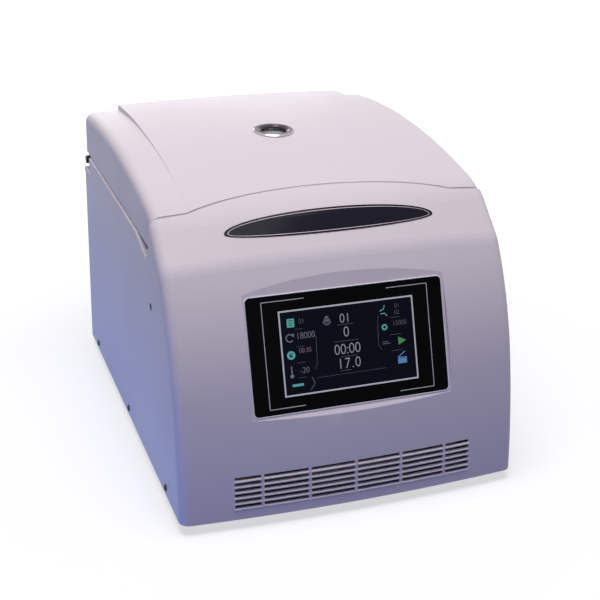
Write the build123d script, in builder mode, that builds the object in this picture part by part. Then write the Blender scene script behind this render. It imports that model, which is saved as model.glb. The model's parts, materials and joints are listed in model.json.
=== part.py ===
from build123d import *
import math
import os

# Refrigerated microcentrifuge for the lab bench, in millimetres.
# X runs to the operator's right, Y runs from the front to the back, Z is up.
# The origin is on the bench, under the middle of the machine with its hinge barrel.

# Overall body
width = 376.0
depth = 473.0
wall = 3.0
foot_height = 12.0
half = width / 2
hinge_proud = 5.5
front_y = -(depth + hinge_proud) / 2
back_y = front_y + depth
middle_y = (front_y + back_y) / 2
base_z = foot_height

# Front face in side view: it leans back more and more towards the top
face_bow = 8.0
lean_bottom = 4.0
lean_middle = 13.5
lean_top = 32.0
lean_middle_height = 130.0
lean_top_height = 240.0

# Sloping brow above the front face, which carries the name plate
slope_angle = 40.0
slope_crown = 9.7
bend_height = 255.0
bend_radius = 45.0
brow_radius = 80.0

# Top of the body in side view, heights above the lower edge of the housing
top_crown = 4.6
top_back_height = 307.2
top_peak_height = 318.0
top_peak_y = back_y - 154.0
top_front_height = 292.3
top_front_y = front_y + 106.5
corner_radius = 11.0
beyond = 40.0

# Lid: its front edge is an arc between two kinks, its sides end at the seam
seam_height = 253.5
seam_kink_x = half - 41.0
seam_kink_y = front_y + 128.5
seam_bow = 21.0
seam_middle_y = seam_kink_y + seam_bow
lid_inset = 2.5
lid_gap = 1.2
panel_half_width = half - 43.4
panel_step_back = 6.6
panel_step_peak = 2.2
panel_step_front = 0.2
seam_z = base_z + seam_height
lid_bottom_z = seam_z + lid_gap

# Hinge at the top of the back wall, its barrel standing out behind
hinge_radius = 6.5
hinge_drop = 10.0
hinge_y = back_y + hinge_proud - hinge_radius
hinge_z = seam_z - hinge_drop
hinge_pin_radius = 3.0
hinge_head_radius = 5.0
hinge_head_length = 4.0
hinge_arm_width = 6.5
running_fit = 0.06
press_fit = 0.02
notch_inner_x = half - 15.5
notch_front_y = back_y - 27.5
notch_depth = 21.0
lug_thickness = 5.5

# Rotor chamber
chamber_forward = 16.75
chamber_y = (seam_middle_y + back_y) / 2 - chamber_forward
bowl_radius = 104.0
bowl_wall = 1.2
bowl_depth = 106.0
bowl_flange = 14.0
deck_thickness = 3.0
deck_drop = 2.5
deck_z = seam_z - deck_drop
fit_gap = 0.3
bowl_bottom_z = deck_z + bowl_wall - bowl_depth
coil_tube_radius = 4.0
coil_turns = 4
coil_pitch = 11.0
insulation_radius = 128.0
insulation_floor = 16.0

# Rotor: fixed angle, twelve pockets
pocket_count = 12
pocket_angle = 45.0
pocket_radius = 8.7
pocket_length = 50.0
pocket_ring_radius = 42.0
rotor_radius = 90.0
rotor_height = 75.0
rotor_bore = 9.0
rotor_lift = 12.0
rotor_z = bowl_bottom_z + rotor_lift
rotor_seat_height = 44.0
rotor_mouth_height = 60.0

# Drive motor on rubber dampers
base_plate_thickness = 2.0
base_plate_z = base_z + 1.0
floor_z = base_plate_z + base_plate_thickness
damper_height = 17.0
damper_radius = 11.0
mount_plate_thickness = 4.0
mount_plate_radius = 76.0
damper_ring_radius = 62.0
motor_radius = 52.0
motor_body_height = 90.0
motor_neck_radius = 17.0
motor_bell_radius = 29.0

# Display in a flat recess of the bowed front face
display_width = 215.5
display_height = 121.5
display_corner = 5.0
display_thickness = 3.0
display_tilt = 19.6
display_centre_height = 164.3
display_setback = 38.4
display_proud = 0.6
recess_margin = 2.4
recess_foot = 63.0
facet_angle = 22.0
screen_width = 154.0
screen_height = 92.0

# Name plate on the brow: a lens with pointed ends
badge_width = 231.0
badge_height = 29.0
badge_thickness = 0.9
badge_centre_height = 279.0

# Air slots at the bottom of the front face
vent_rows = 6
vent_pitch = 6.16
vent_slot_height = 3.9
vent_first_height = 14.6
vent_half_width = 131.5
vent_rib_spacing = 51.0
vent_rib_width = 3.0

# Fasteners
side_screw_height = 9.0
side_screw_pitch = (depth - 117.0) / 2
side_screw_middle_y = middle_y + 12.0
screw_head_radius = 4.0
screw_head_sink = 1.2
screw_head_proud = 1.5
screw_head_slope = 30.0
screw_cross_width = 0.9
screw_cross_length = 4.4
screw_shank_radius = 2.0

# Shapes shared by several pieces

lean_radius_low = lean_middle_height / (
    math.sin(math.radians(lean_middle)) - math.sin(math.radians(lean_bottom))
)
lean_radius_high = (lean_top_height - lean_middle_height) / (
    math.sin(math.radians(lean_top)) - math.sin(math.radians(lean_middle))
)
bow_radius = half**2 / (2 * face_bow)
top_crown_radius = half**2 / (2 * top_crown)
slope_crown_radius = half**2 / (2 * slope_crown * math.cos(math.radians(slope_angle)))


def lean_setback(height):
    """Distance from the foot of the front face back to its surface at a height."""
    low = min(height, lean_middle_height)
    start = math.radians(lean_bottom)
    end = math.asin(math.sin(start) + low / lean_radius_low)
    setback = lean_radius_low * (math.cos(start) - math.cos(end))
    if height > lean_middle_height:
        high = min(height, lean_top_height) - lean_middle_height
        start = math.radians(lean_middle)
        end = math.asin(math.sin(start) + high / lean_radius_high)
        setback += lean_radius_high * (math.cos(start) - math.cos(end))
    if height > lean_top_height:
        setback += (height - lean_top_height) * math.tan(math.radians(lean_top))
    return setback


bend_y = front_y + lean_setback(bend_height)


def body_form(inset=0.0, side_inset=None, back_inset=None, steps=(0.0, 0.0, 0.0), rounded=True):
    """The smooth outer body, or the same body drawn in by an inset.

    The steps lift the top at its back, its peak and its front edge."""
    side = inset if side_inset is None else side_inset
    back = inset if back_inset is None else back_inset
    lean = math.radians(lean_bottom)
    axis_y = front_y + bow_radius
    swing = math.asin((half + beyond) / (bow_radius - depth - 3 * beyond))
    with BuildPart() as form:
        # Front face, turned about a far upright axis so that it bows forward
        front_plane = Plane(
            origin=(0, axis_y, 0),
            x_dir=(math.sin(swing), math.cos(swing), 0),
            z_dir=(math.cos(swing), -math.sin(swing), 0),
        )
        with BuildSketch(front_plane):
            with BuildLine():
                start_x = -bow_radius + inset * math.cos(lean)
                start_z = base_z - inset * math.sin(lean)
                low_end = (start_x - beyond * math.tan(lean), start_z - beyond)
                foot = Line(low_end, (start_x, start_z))
                low = JernArc(foot @ 1, foot % 1, lean_radius_low - inset, lean_bottom - lean_middle)
                high = JernArc(low @ 1, low % 1, lean_radius_high - inset, lean_middle - lean_top)
                tip = Line(high @ 1, (high @ 1) + (high % 1) * 4 * beyond)
                far = -bow_radius + depth + 2 * beyond
                Polyline(tip @ 1, (far, (tip @ 1).Y), (far, start_z - beyond), foot @ 0)
            make_face()
        revolve(axis=Axis((0, axis_y, 0), (0, 0, 1)), revolution_arc=math.degrees(2 * swing))

        # Top, turned about a far axis below so that it is crowned from side to side
        axis_z = base_z + top_peak_height - top_crown_radius
        tilt = math.asin((half + beyond) / top_crown_radius)
        top_plane = Plane(
            origin=(0, 0, axis_z),
            x_dir=(0, 1, 0),
            z_dir=(math.cos(tilt), 0, -math.sin(tilt)),
        )
        lift_back, lift_peak, lift_front = (step - inset for step in steps)
        with BuildSketch(top_plane):
            with BuildLine():
                roof = ThreePointArc(
                    (back_y, base_z + top_back_height - axis_z + lift_back),
                    (top_peak_y, top_crown_radius + lift_peak),
                    (top_front_y, base_z + top_front_height - axis_z + lift_front),
                )
                rear = Line(roof @ 0, (roof @ 0) - (roof % 0) * beyond)
                nose = Line(roof @ 1, (roof @ 1) + (roof % 1) * 5 * beyond)
                under = base_z - beyond - axis_z
                Polyline(rear @ 1, ((rear @ 1).X, under), ((nose @ 1).X, under), nose @ 1)
            make_face()
        revolve(
            axis=Axis((0, 0, axis_z), (0, 1, 0)),
            revolution_arc=-math.degrees(2 * tilt),
            mode=Mode.INTERSECT,
        )

        # Sloping brow, a wide cylinder that leans back
        slope = math.radians(slope_angle)
        along = Vector(0, math.cos(slope), math.sin(slope))
        outward = Vector(0, -math.sin(slope), math.cos(slope))
        origin = Vector(0, bend_y, base_z + bend_height) - outward * inset - along * 6 * beyond
        with BuildSketch(Plane(origin=origin, x_dir=(-1, 0, 0), z_dir=along)):
            with BuildLine():
                reach = half + beyond
                sag = slope_crown_radius - math.sqrt(slope_crown_radius**2 - reach**2)
                ThreePointArc((-reach, -sag), (0, 0), (reach, -sag))
                Polyline((reach, -sag), (reach, -2 * depth), (-reach, -2 * depth), (-reach, -sag))
            make_face()
        extrude(amount=16 * beyond, mode=Mode.INTERSECT)

        # Flat sides, back and bottom
        with BuildSketch(Plane.XY.offset(base_z)):
            with Locations((0, (front_y - beyond + back_y - back) / 2)):
                Rectangle(width - 2 * side, back_y - back - front_y + beyond)
        extrude(amount=depth, mode=Mode.INTERSECT)

        # Soft bends, then the rounded outer edges that follow them
        bend = form.edges().sort_by_distance((0, bend_y, base_z + bend_height))[0]
        fillet(bend, bend_radius - inset)
        across = form.edges().filter_by(lambda edge: abs(edge.center().X) < 1)
        brow = across.sort_by_distance((0, top_front_y, base_z + top_front_height))[0]
        fillet(brow, brow_radius - inset)
        outline = [
            edge
            for edge in form.edges()
            if abs(edge.center().X) > half - side - 0.5
            and edge.center().Z > base_z + 1
            and edge.center().Y < back_y - back - 1
        ]
        if rounded:
            fillet(outline, corner_radius - inset)
    return form.part


def seam_face(shift):
    """Outline seen from above of all that lies behind the lid's front edge."""
    reach = half + beyond
    kink_y = seam_kink_y + shift
    with BuildSketch() as zone:
        with BuildLine():
            Line((-reach, kink_y), (-seam_kink_x, kink_y))
            ThreePointArc((-seam_kink_x, kink_y), (0, seam_middle_y + shift), (seam_kink_x, kink_y))
            Line((seam_kink_x, kink_y), (reach, kink_y))
            end_y = back_y + beyond
            Polyline((reach, kink_y), (reach, end_y), (-reach, end_y), (-reach, kink_y))
        make_face()
    return zone.sketch


def finish(piece, name):
    piece.part.label = name
    export_step(piece.part, f"parts/{name}.step")


os.makedirs("parts", exist_ok=True)

outer_form = body_form()
inner_form = body_form(wall)

display_plane = Plane(
    origin=(0, front_y + display_setback, base_z + display_centre_height),
    x_dir=(1, 0, 0),
    z_dir=(0, -math.cos(math.radians(display_tilt)), math.sin(math.radians(display_tilt))),
)
recess_width = display_width + 2 * recess_margin
pocket_depth = display_thickness - display_proud

# Places of the screws that hold the housing to its floor and the rear panel to the housing
side_screw_places = [
    (side * half, side_screw_middle_y + step * side_screw_pitch, base_z + side_screw_height)
    for side in (-1, 1)
    for step in (-1, 0, 1)
]
screw_length = wall + 5.0
rear_opening_width = width - 46.0
rear_opening_bottom = base_z + 14.0
rear_opening_top = base_z + 216.0
rear_opening_corner = 6.0
rear_panel_lap = 8.0
rear_screw_places = [
    (side * (rear_opening_width + rear_panel_lap) / 2, back_y, base_z + height)
    for side in (-1, 1)
    for height in (40.0, 115.0, 190.0)
]


def outward_plane(place):
    """Plane on a side wall or on the back wall, looking outward."""
    if place[1] == back_y:
        return Plane(origin=place, x_dir=(-1, 0, 0), z_dir=(0, 1, 0))
    return Plane(origin=place, x_dir=(0, 1, 0), z_dir=(math.copysign(1, place[0]), 0, 0))


def screw_hole(place, slack=press_fit):
    """Shallow pocket for the head and a hole for the shank."""
    plane = outward_plane(place)
    with BuildPart() as hole:
        with BuildSketch(plane):
            Circle(screw_head_radius + slack)
        extrude(amount=-screw_head_sink)
        with BuildSketch(plane):
            Circle(screw_shank_radius + slack)
        extrude(amount=-screw_length)
    return hole.part


def screw_solid(place):
    """Screw with a low domed head, cross recess and a short shank."""
    plane = outward_plane(place)
    with BuildPart() as screw:
        add(screw_hole(place, 0.0))
        with BuildSketch(plane):
            Circle(screw_head_radius)
        extrude(amount=screw_head_proud, taper=screw_head_slope)
        with BuildSketch(plane.offset(screw_head_proud)):
            Rectangle(screw_cross_length, screw_cross_width)
            Rectangle(screw_cross_width, screw_cross_length)
        extrude(amount=-screw_head_proud, mode=Mode.SUBTRACT)
    return screw.part


screw_holes = [screw_hole(place) for place in side_screw_places + rear_screw_places]

# Lower housing: fascia, brow and sides in one moulded shell
bulkhead_thickness = wall
ledge_width = 5.0
ledge_thickness = 2.5
liner_screw_radius = 1.6
liner_screw_reach = 10.0
arm_outer_x = half - lid_inset - wall
arm_inner_x = arm_outer_x - hinge_arm_width
arm_cut_y = back_y - 31.5
scoop_back_y = seam_kink_y + 62.0
scoop_low_y = seam_kink_y + 15.0
scoop_front_y = seam_kink_y + 7.0
scoop_drop = 12.0
scoop_depth = 14.0
board_post_x = 88.0
board_post_y = 48.0
board_post_length = 6.0
board_post_radius = 3.5
screen_clearance = 2.0
hinge_pin_grip = 26.0
release_y = seam_kink_y - 6.0
release_z = base_z + 194.8
release_radius = 4.5

with BuildPart() as cavity:
    add(inner_form)
    # Keep a wall behind the flat display recess
    with BuildSketch(display_plane.offset(-wall - pocket_depth)):
        Rectangle(recess_width + 2 * wall, 2 * display_height)
    extrude(amount=2 * beyond, mode=Mode.SUBTRACT)


with BuildPart() as bulkhead:
    with BuildSketch(Plane.XY.offset(deck_z - deck_thickness - ledge_thickness)):
        add(seam_face(-bulkhead_thickness))
        add(seam_face(0), mode=Mode.SUBTRACT)
    extrude(amount=2 * half)
    add(outer_form, mode=Mode.INTERSECT)

with BuildPart() as lower_housing:
    add(outer_form)
    add(cavity.part, mode=Mode.SUBTRACT)
    # Everything behind the lid's front edge stops at the seam
    with BuildSketch(Plane.XY.offset(seam_z)):
        add(seam_face(0))
    extrude(amount=2 * half, mode=Mode.SUBTRACT)
    add(bulkhead.part)
    # Ledges under the deck, along both sides
    ledge_z = deck_z - deck_thickness - ledge_thickness
    with BuildSketch(Plane.XY.offset(ledge_z)):
        ledge_length = notch_front_y - seam_kink_y
        for side in (-1, 1):
            with Locations((side * (half - wall - ledge_width / 2), seam_kink_y + ledge_length / 2)):
                Rectangle(ledge_width + fit_gap, ledge_length)
    extrude(amount=ledge_thickness)
    # Corner notches where the lid's hinge arms come down
    with BuildSketch(Plane.XY.offset(seam_z - notch_depth)):
        for side in (-1, 1):
            notch_width = half + beyond - notch_inner_x
            with Locations((side * (notch_inner_x + notch_width / 2), notch_front_y + beyond)):
                Rectangle(notch_width, 2 * beyond)
    extrude(amount=2 * notch_depth, mode=Mode.SUBTRACT)
    # Rear edge rounded about the hinge line, so that the lid's back swings round it
    with BuildSketch(Plane.XY.offset(hinge_z)):
        with Locations((0, hinge_y)):
            Rectangle(2 * notch_inner_x, 2 * hinge_radius)
    extrude(amount=hinge_drop, mode=Mode.SUBTRACT)
    with BuildSketch(Plane.YZ.offset(-notch_inner_x)):
        with Locations((hinge_y, hinge_z)):
            Circle(hinge_radius)
    extrude(amount=2 * notch_inner_x)
    # Lugs that stand out behind the foot of each notch
    with BuildSketch(Plane.XY.offset(seam_z - notch_depth - lug_thickness)):
        for side in (-1, 1):
            with Locations((side * (notch_inner_x + half) / 2, back_y + (hinge_proud - wall) / 2)):
                Rectangle(half - notch_inner_x, hinge_proud + wall)
    extrude(amount=lug_thickness)
    # Window in the back wall for the rear panel
    with BuildSketch(Plane.XZ.offset(-back_y + 2 * wall)):
        with Locations((0, (rear_opening_bottom + rear_opening_top) / 2)):
            opening_height = rear_opening_top - rear_opening_bottom
            RectangleRounded(rear_opening_width, opening_height, rear_opening_corner)
    extrude(amount=-3 * wall, mode=Mode.SUBTRACT)
    # Flat recess for the display; a steeper facet below it runs out through the bowed front
    recess_side = Plane(
        origin=display_plane.origin - Vector(recess_width / 2, 0, 0),
        x_dir=display_plane.y_dir,
        z_dir=(1, 0, 0),
    )
    with BuildSketch(recess_side):
        with BuildLine():
            facet_run = 2 * beyond / math.tan(math.radians(facet_angle))
            Polyline(
                (-recess_foot, 0),
                (display_height, 0),
                (display_height, 2 * beyond),
                (-recess_foot - facet_run, 2 * beyond),
                (-recess_foot, 0),
            )
        make_face()
    extrude(amount=recess_width, mode=Mode.SUBTRACT)
    # Pocket for the glass and the hole for its screen
    with BuildSketch(display_plane):
        RectangleRounded(
            display_width + 2 * fit_gap, display_height + 2 * fit_gap, display_corner + fit_gap
        )
    extrude(amount=-pocket_depth, mode=Mode.SUBTRACT)
    with BuildSketch(display_plane):
        Rectangle(screen_width + 2 * screen_clearance, screen_height + 2 * screen_clearance)
    extrude(amount=-3 * wall, mode=Mode.SUBTRACT)
    # Air slots in rows, cut between upright ribs
    slot_columns = [
        (-vent_half_width, -2 * vent_rib_spacing),
        (-2 * vent_rib_spacing, -vent_rib_spacing),
        (-vent_rib_spacing, 0),
        (0, vent_rib_spacing),
        (vent_rib_spacing, 2 * vent_rib_spacing),
        (2 * vent_rib_spacing, vent_half_width),
    ]
    with BuildSketch(Plane.XZ.offset(-front_y - 8 * wall)):
        for row in range(vent_rows):
            slot_z = base_z + vent_first_height + row * vent_pitch
            for left, right in slot_columns:
                left_rib = vent_rib_width / 2 if left > -vent_half_width else 0
                right_rib = vent_rib_width / 2 if right < vent_half_width else 0
                start = left + left_rib
                stop = right - right_rib
                with Locations(((start + stop) / 2, slot_z)):
                    Rectangle(stop - start, vent_slot_height)
    extrude(amount=10 * wall, mode=Mode.SUBTRACT)
    # Finger scoops under the seam, near the front of both sides, with a pocket behind
    for side in (-1, 1):
        with BuildSketch(Plane.YZ.offset(side * (half - wall))):
            with Locations(((scoop_front_y + scoop_back_y) / 2, seam_z - (scoop_drop + wall) / 2)):
                Rectangle(scoop_back_y - scoop_front_y + 2 * wall, scoop_drop + wall)
        extrude(amount=-side * scoop_depth)
        with BuildSketch(Plane.YZ.offset(side * (half + wall))):
            with BuildLine():
                Polyline(
                    (scoop_front_y, seam_z + wall),
                    (scoop_back_y, seam_z + wall),
                    (scoop_back_y, seam_z),
                    (scoop_low_y, seam_z - scoop_drop),
                    (scoop_front_y, seam_z - scoop_drop / 2),
                    (scoop_front_y, seam_z + wall),
                )
            make_face()
        extrude(amount=-side * (scoop_depth + wall), mode=Mode.SUBTRACT)
    # Bores for the hinge pins in the ends of the rounded rear edge
    for side in (-1, 1):
        with BuildSketch(Plane.YZ.offset(side * notch_inner_x)):
            with Locations((hinge_y, hinge_z)):
                Circle(hinge_pin_radius + press_fit)
        extrude(amount=-side * hinge_pin_grip, mode=Mode.SUBTRACT)
    # Posts for the display board
    with BuildSketch(display_plane.offset(-pocket_depth - wall)):
        with GridLocations(2 * board_post_x, 2 * board_post_y, 2, 2):
            Circle(board_post_radius)
    extrude(amount=-board_post_length)
    # Screw holes
    for hole in screw_holes:
        add(hole, mode=Mode.SUBTRACT)
    # Hole for the emergency release, on the left
    with Locations(Plane(origin=(-half, release_y, release_z), z_dir=(-1, 0, 0))):
        Hole(release_radius, depth=2 * wall)

finish(lower_housing, "lower_housing")

# Floor of the machine: a tray whose upturned sides take the side screws
tray_flange_height = 18.0
tray_front_gap = 2.0
tray_slot_length = 90.0
tray_slot_width = 5.0
tray_slot_pitch = 12.0
tray_slot_count = 5
tray_half_width = half - wall - fit_gap
tray_front_y = front_y + wall + face_bow + tray_front_gap
tray_back_y = back_y - wall - fit_gap

with BuildPart() as base_plate:
    tray_length = tray_back_y - tray_front_y
    with BuildSketch(Plane.XY.offset(base_plate_z)):
        with Locations((0, (tray_front_y + tray_back_y) / 2)):
            Rectangle(2 * tray_half_width, tray_length)
        chamfer(vertices().group_by(Axis.Y)[0], corner_radius + wall)
    extrude(amount=base_plate_thickness)
    with BuildSketch(Plane.XY.offset(base_plate_z)):
        flange_length = tray_length - 2 * corner_radius - 2 * wall
        for side in (-1, 1):
            flange_x = side * (tray_half_width - base_plate_thickness / 2)
            with Locations((flange_x, tray_back_y - flange_length / 2)):
                Rectangle(base_plate_thickness, flange_length)
    extrude(amount=tray_flange_height)
    # Slots that let air out under the compressor
    with BuildSketch(Plane.XY.offset(base_plate_z)):
        with GridLocations(0, tray_slot_pitch, 1, tray_slot_count):
            SlotOverall(tray_slot_length, tray_slot_width)
    extrude(amount=base_plate_thickness, mode=Mode.SUBTRACT)
    for hole in screw_holes:
        add(hole, mode=Mode.SUBTRACT)

finish(base_plate, "base_plate")

# Four rubber feet
foot_radius = 15.0
foot_flare = 3.0
foot_spacing_x = width - 96.0
foot_spacing_y = depth - 123.0
foot_middle_y = middle_y + 12.0

with BuildPart() as rubber_feet:
    with Locations((0, foot_middle_y, base_plate_z / 2)):
        with GridLocations(foot_spacing_x, foot_spacing_y, 2, 2):
            Cone(foot_radius, foot_radius + foot_flare, base_plate_z)

finish(rubber_feet, "rubber_feet")

# Screws of the housing, in shallow pockets
with BuildPart() as housing_screws:
    for place in side_screw_places:
        add(screw_solid(place))

finish(housing_screws, "housing_screws")

# Rear panel behind the window, with louvres and the mains fittings
rear_panel_thickness = 2.0
rear_panel_y = back_y - wall
louvre_rows = 11
louvre_pitch = 11.0
louvre_width = 104.0
louvre_height = 4.0
louvre_gap = 12.0
louvre_x = louvre_width + 1.5 * louvre_gap - rear_opening_width / 2
louvre_z = base_z + 120.0
inlet_x = half - 78.0
inlet_z = base_z + 45.0
inlet_width = 30.0
inlet_height = 23.0
inlet_depth = 26.0
inlet_flange_width = 50.0
inlet_flange_height = 30.0
inlet_flange_thickness = 2.5
flange_corner = 3.0
inlet_wall = 3.0
inlet_chamfer = 4.0
inlet_floor = 8.0
blade_width = 2.0
blade_height = 4.0
blade_spread = 7.0
blade_drop = 2.0
blade_setback = 4.0
switch_z = base_z + 90.0
switch_width = 22.0
switch_height = 30.0
switch_depth = 18.0

with BuildPart() as rear_panel:
    panel_middle_z = (rear_opening_bottom + rear_opening_top) / 2
    with BuildSketch(Plane.XZ.offset(-rear_panel_y)):
        with Locations((0, panel_middle_z)):
            Rectangle(
                rear_opening_width + 2 * rear_panel_lap,
                rear_opening_top - rear_opening_bottom + 2 * rear_panel_lap,
            )
        with Locations((louvre_x, louvre_z)):
            with GridLocations(louvre_width + louvre_gap, louvre_pitch, 2, louvre_rows):
                SlotOverall(louvre_width, louvre_height, mode=Mode.SUBTRACT)
        with Locations((inlet_x, inlet_z)):
            Rectangle(inlet_width + 2 * fit_gap, inlet_height + 2 * fit_gap, mode=Mode.SUBTRACT)
        with Locations((inlet_x, switch_z)):
            Rectangle(switch_width + 2 * fit_gap, switch_height + 2 * fit_gap, mode=Mode.SUBTRACT)
    extrude(amount=rear_panel_thickness)
    for hole in screw_holes:
        add(hole, mode=Mode.SUBTRACT)

finish(rear_panel, "rear_panel")

# Screws of the rear panel, in the rim of the housing
with BuildPart() as rear_panel_screws:
    for place in rear_screw_places:
        add(screw_solid(place))

finish(rear_panel_screws, "rear_panel_screws")

# Mains inlet: flange, body and a recessed socket with three blades
with BuildPart() as power_inlet:
    with BuildSketch(Plane.XZ.offset(-rear_panel_y)):
        with Locations((inlet_x, inlet_z)):
            RectangleRounded(inlet_flange_width, inlet_flange_height, flange_corner)
    extrude(amount=-inlet_flange_thickness)
    with BuildSketch(Plane.XZ.offset(-rear_panel_y)):
        with Locations((inlet_x, inlet_z)):
            Rectangle(inlet_width, inlet_height)
    extrude(amount=inlet_depth)
    with BuildSketch(Plane.XZ.offset(-rear_panel_y - inlet_flange_thickness)):
        with Locations((inlet_x, inlet_z)):
            Rectangle(inlet_width - 2 * inlet_wall, inlet_height - 2 * inlet_wall)
            chamfer(vertices().group_by(Axis.Y)[-1], inlet_chamfer)
    socket_depth = inlet_depth - inlet_floor
    extrude(amount=socket_depth, mode=Mode.SUBTRACT)
    with BuildSketch(Plane.XZ.offset(-rear_panel_y - inlet_flange_thickness + socket_depth)):
        with Locations((inlet_x, inlet_z)):
            with Locations((-blade_spread, -blade_drop), (0, blade_drop), (blade_spread, -blade_drop)):
                Rectangle(blade_width, blade_height)
    extrude(amount=-(socket_depth - blade_setback))

finish(power_inlet, "power_inlet")

# Rocker switch: a frame in the rear panel and a rocker that tips in it
rocker_radius = 11.0
rocker_width = 15.0
rocker_travel = 16.0
rocker_pivot_depth = 2.0
rocker_pivot_y = rear_panel_y - rocker_pivot_depth
rocker_pin_radius = 1.5
rocker_beyond = 2.0
switch_bezel = 3.0

with BuildPart() as switch_frame:
    with BuildSketch(Plane.XZ.offset(-rear_panel_y)):
        with Locations((inlet_x, switch_z)):
            bezel_width = switch_width + 2 * switch_bezel
            RectangleRounded(bezel_width, switch_height + 2 * switch_bezel, flange_corner)
    extrude(amount=-inlet_flange_thickness)
    with BuildSketch(Plane.XZ.offset(-rear_panel_y)):
        with Locations((inlet_x, switch_z)):
            Rectangle(switch_width, switch_height)
    extrude(amount=switch_depth)
    with BuildSketch(Plane.XZ.offset(-rear_panel_y - inlet_flange_thickness)):
        with Locations((inlet_x, switch_z)):
            Rectangle(rocker_width + 2 * fit_gap, 2 * (rocker_radius + 2 * fit_gap))
    extrude(amount=switch_depth, mode=Mode.SUBTRACT)
    # Pivot pin across the frame
    with BuildSketch(Plane.YZ.offset(inlet_x - switch_width / 2)):
        with Locations((rocker_pivot_y, switch_z)):
            Circle(rocker_pin_radius)
    extrude(amount=switch_width)

finish(switch_frame, "switch_frame")

with BuildPart() as power_rocker:
    # A drum about the pin; its rear face is two flats that lean by the travel
    with BuildSketch(Plane.YZ.offset(inlet_x - rocker_width / 2)):
        with Locations((rocker_pivot_y, switch_z)):
            Circle(rocker_radius)
        half_travel = math.radians(rocker_travel / 2)
        face_y = rear_panel_y
        reach = rocker_radius + rocker_beyond
        with BuildLine():
            Polyline(
                (face_y, switch_z),
                (face_y + reach * math.tan(2 * half_travel), switch_z + reach),
                (face_y + 3 * reach, switch_z + reach),
                (face_y + 3 * reach, switch_z - reach),
                (face_y, switch_z - reach),
                (face_y, switch_z),
            )
        make_face(mode=Mode.SUBTRACT)
        with Locations((rocker_pivot_y - reach, switch_z)):
            Rectangle(reach, 2 * reach, mode=Mode.SUBTRACT)
        with Locations((rocker_pivot_y, switch_z)):
            Circle(rocker_pin_radius + running_fit, mode=Mode.SUBTRACT)
    extrude(amount=rocker_width)

finish(power_rocker, "power_rocker")

# Deck round the chamber, under the lid
bowl_outer = bowl_radius + bowl_wall
striker_y = seam_middle_y + 11.5
striker_width = 13.0
striker_thickness = 3.0
striker_room = 3.0
striker_slot_width = striker_thickness + 2 * striker_room
striker_slot_depth = striker_width + 2.0
deck_slot_slack = 1.0

with BuildPart() as top_deck:
    with BuildSketch(Plane.XY.offset(deck_z - deck_thickness)):
        add(seam_face(fit_gap))
        deck_back_y = hinge_y - hinge_radius - fit_gap
        with Locations((0, (deck_back_y - half) / 2)):
            Rectangle(2 * (half - wall - fit_gap), deck_back_y + half, mode=Mode.INTERSECT)
        for side in (-1, 1):
            with Locations((side * half, back_y)):
                corner_cut = 2 * (half - notch_inner_x + wall)
                Rectangle(corner_cut, 2 * (back_y - notch_front_y + wall), mode=Mode.SUBTRACT)
        with Locations((0, chamber_y)):
            Circle(bowl_outer + fit_gap, mode=Mode.SUBTRACT)
        with Locations((0, striker_y)):
            Rectangle(striker_slot_width, striker_slot_depth + deck_slot_slack, mode=Mode.SUBTRACT)
        for side in (-1, 1):
            with Locations((side * half, (scoop_front_y + scoop_back_y) / 2)):
                scoop_cut = 2 * (scoop_depth + wall + fit_gap)
                Rectangle(scoop_cut, scoop_back_y - scoop_front_y + 4 * wall, mode=Mode.SUBTRACT)
    extrude(amount=deck_thickness)

finish(top_deck, "top_deck")

# Stainless bowl with a rolled corner, hung by its flange on the deck
bowl_corner = 14.0
bowl_hole_gap = 4.0
bowl_hole_radius = motor_neck_radius + bowl_hole_gap
chamber_plane = Plane(origin=(0, chamber_y, 0), x_dir=(1, 0, 0), z_dir=(0, -1, 0))
chamber_axis = Axis((0, chamber_y, 0), (0, 0, 1))

with BuildPart() as chamber_bowl:
    with BuildSketch(chamber_plane):
        with BuildLine():
            Polyline(
                (bowl_hole_radius, bowl_bottom_z),
                (bowl_outer - bowl_corner, bowl_bottom_z),
                (bowl_outer, bowl_bottom_z + bowl_corner),
                (bowl_outer, deck_z),
                (bowl_radius + bowl_flange, deck_z),
                (bowl_radius + bowl_flange, deck_z + bowl_wall),
                (bowl_radius, deck_z + bowl_wall),
                (bowl_radius, bowl_bottom_z + bowl_corner + bowl_wall / 2),
                (bowl_radius - bowl_corner + bowl_wall / 2, bowl_bottom_z + bowl_wall),
                (bowl_hole_radius, bowl_bottom_z + bowl_wall),
                (bowl_hole_radius, bowl_bottom_z),
            )
        make_face()
    revolve(axis=chamber_axis)

finish(chamber_bowl, "chamber_bowl")

# Lid seal: a base ring and a soft lip
liner_lift = 1.8
liner_z = lid_bottom_z + liner_lift
seal_inset = 1.5
seal_inner = bowl_radius + seal_inset
seal_width = 9.0
seal_base = 1.5
seal_lip_foot = 5.0
seal_lip_outer = 4.0
seal_lip_inner = 2.0
seal_top_z = liner_z - fit_gap

with BuildPart() as bowl_seal:
    with BuildSketch(chamber_plane):
        with BuildLine():
            seal_z = deck_z + bowl_wall
            Polyline(
                (seal_inner, seal_z),
                (seal_inner + seal_width, seal_z),
                (seal_inner + seal_width, seal_z + seal_base),
                (seal_inner + seal_lip_foot, seal_z + seal_base),
                (seal_inner + seal_lip_outer, seal_top_z),
                (seal_inner + seal_lip_inner, seal_top_z),
                (seal_inner, seal_z + seal_base),
                (seal_inner, seal_z),
            )
        make_face()
    revolve(axis=chamber_axis)

finish(bowl_seal, "bowl_seal")

# Evaporator: one tube wound round the bowl
coil_radius = bowl_outer + fit_gap + coil_tube_radius
coil_start_z = bowl_bottom_z + bowl_corner + coil_tube_radius
coil_gap = coil_pitch - 2 * coil_tube_radius
tube_sides = 8
print(f"evaporator coil: least gap between turns {coil_gap:.2f} mm")

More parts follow.
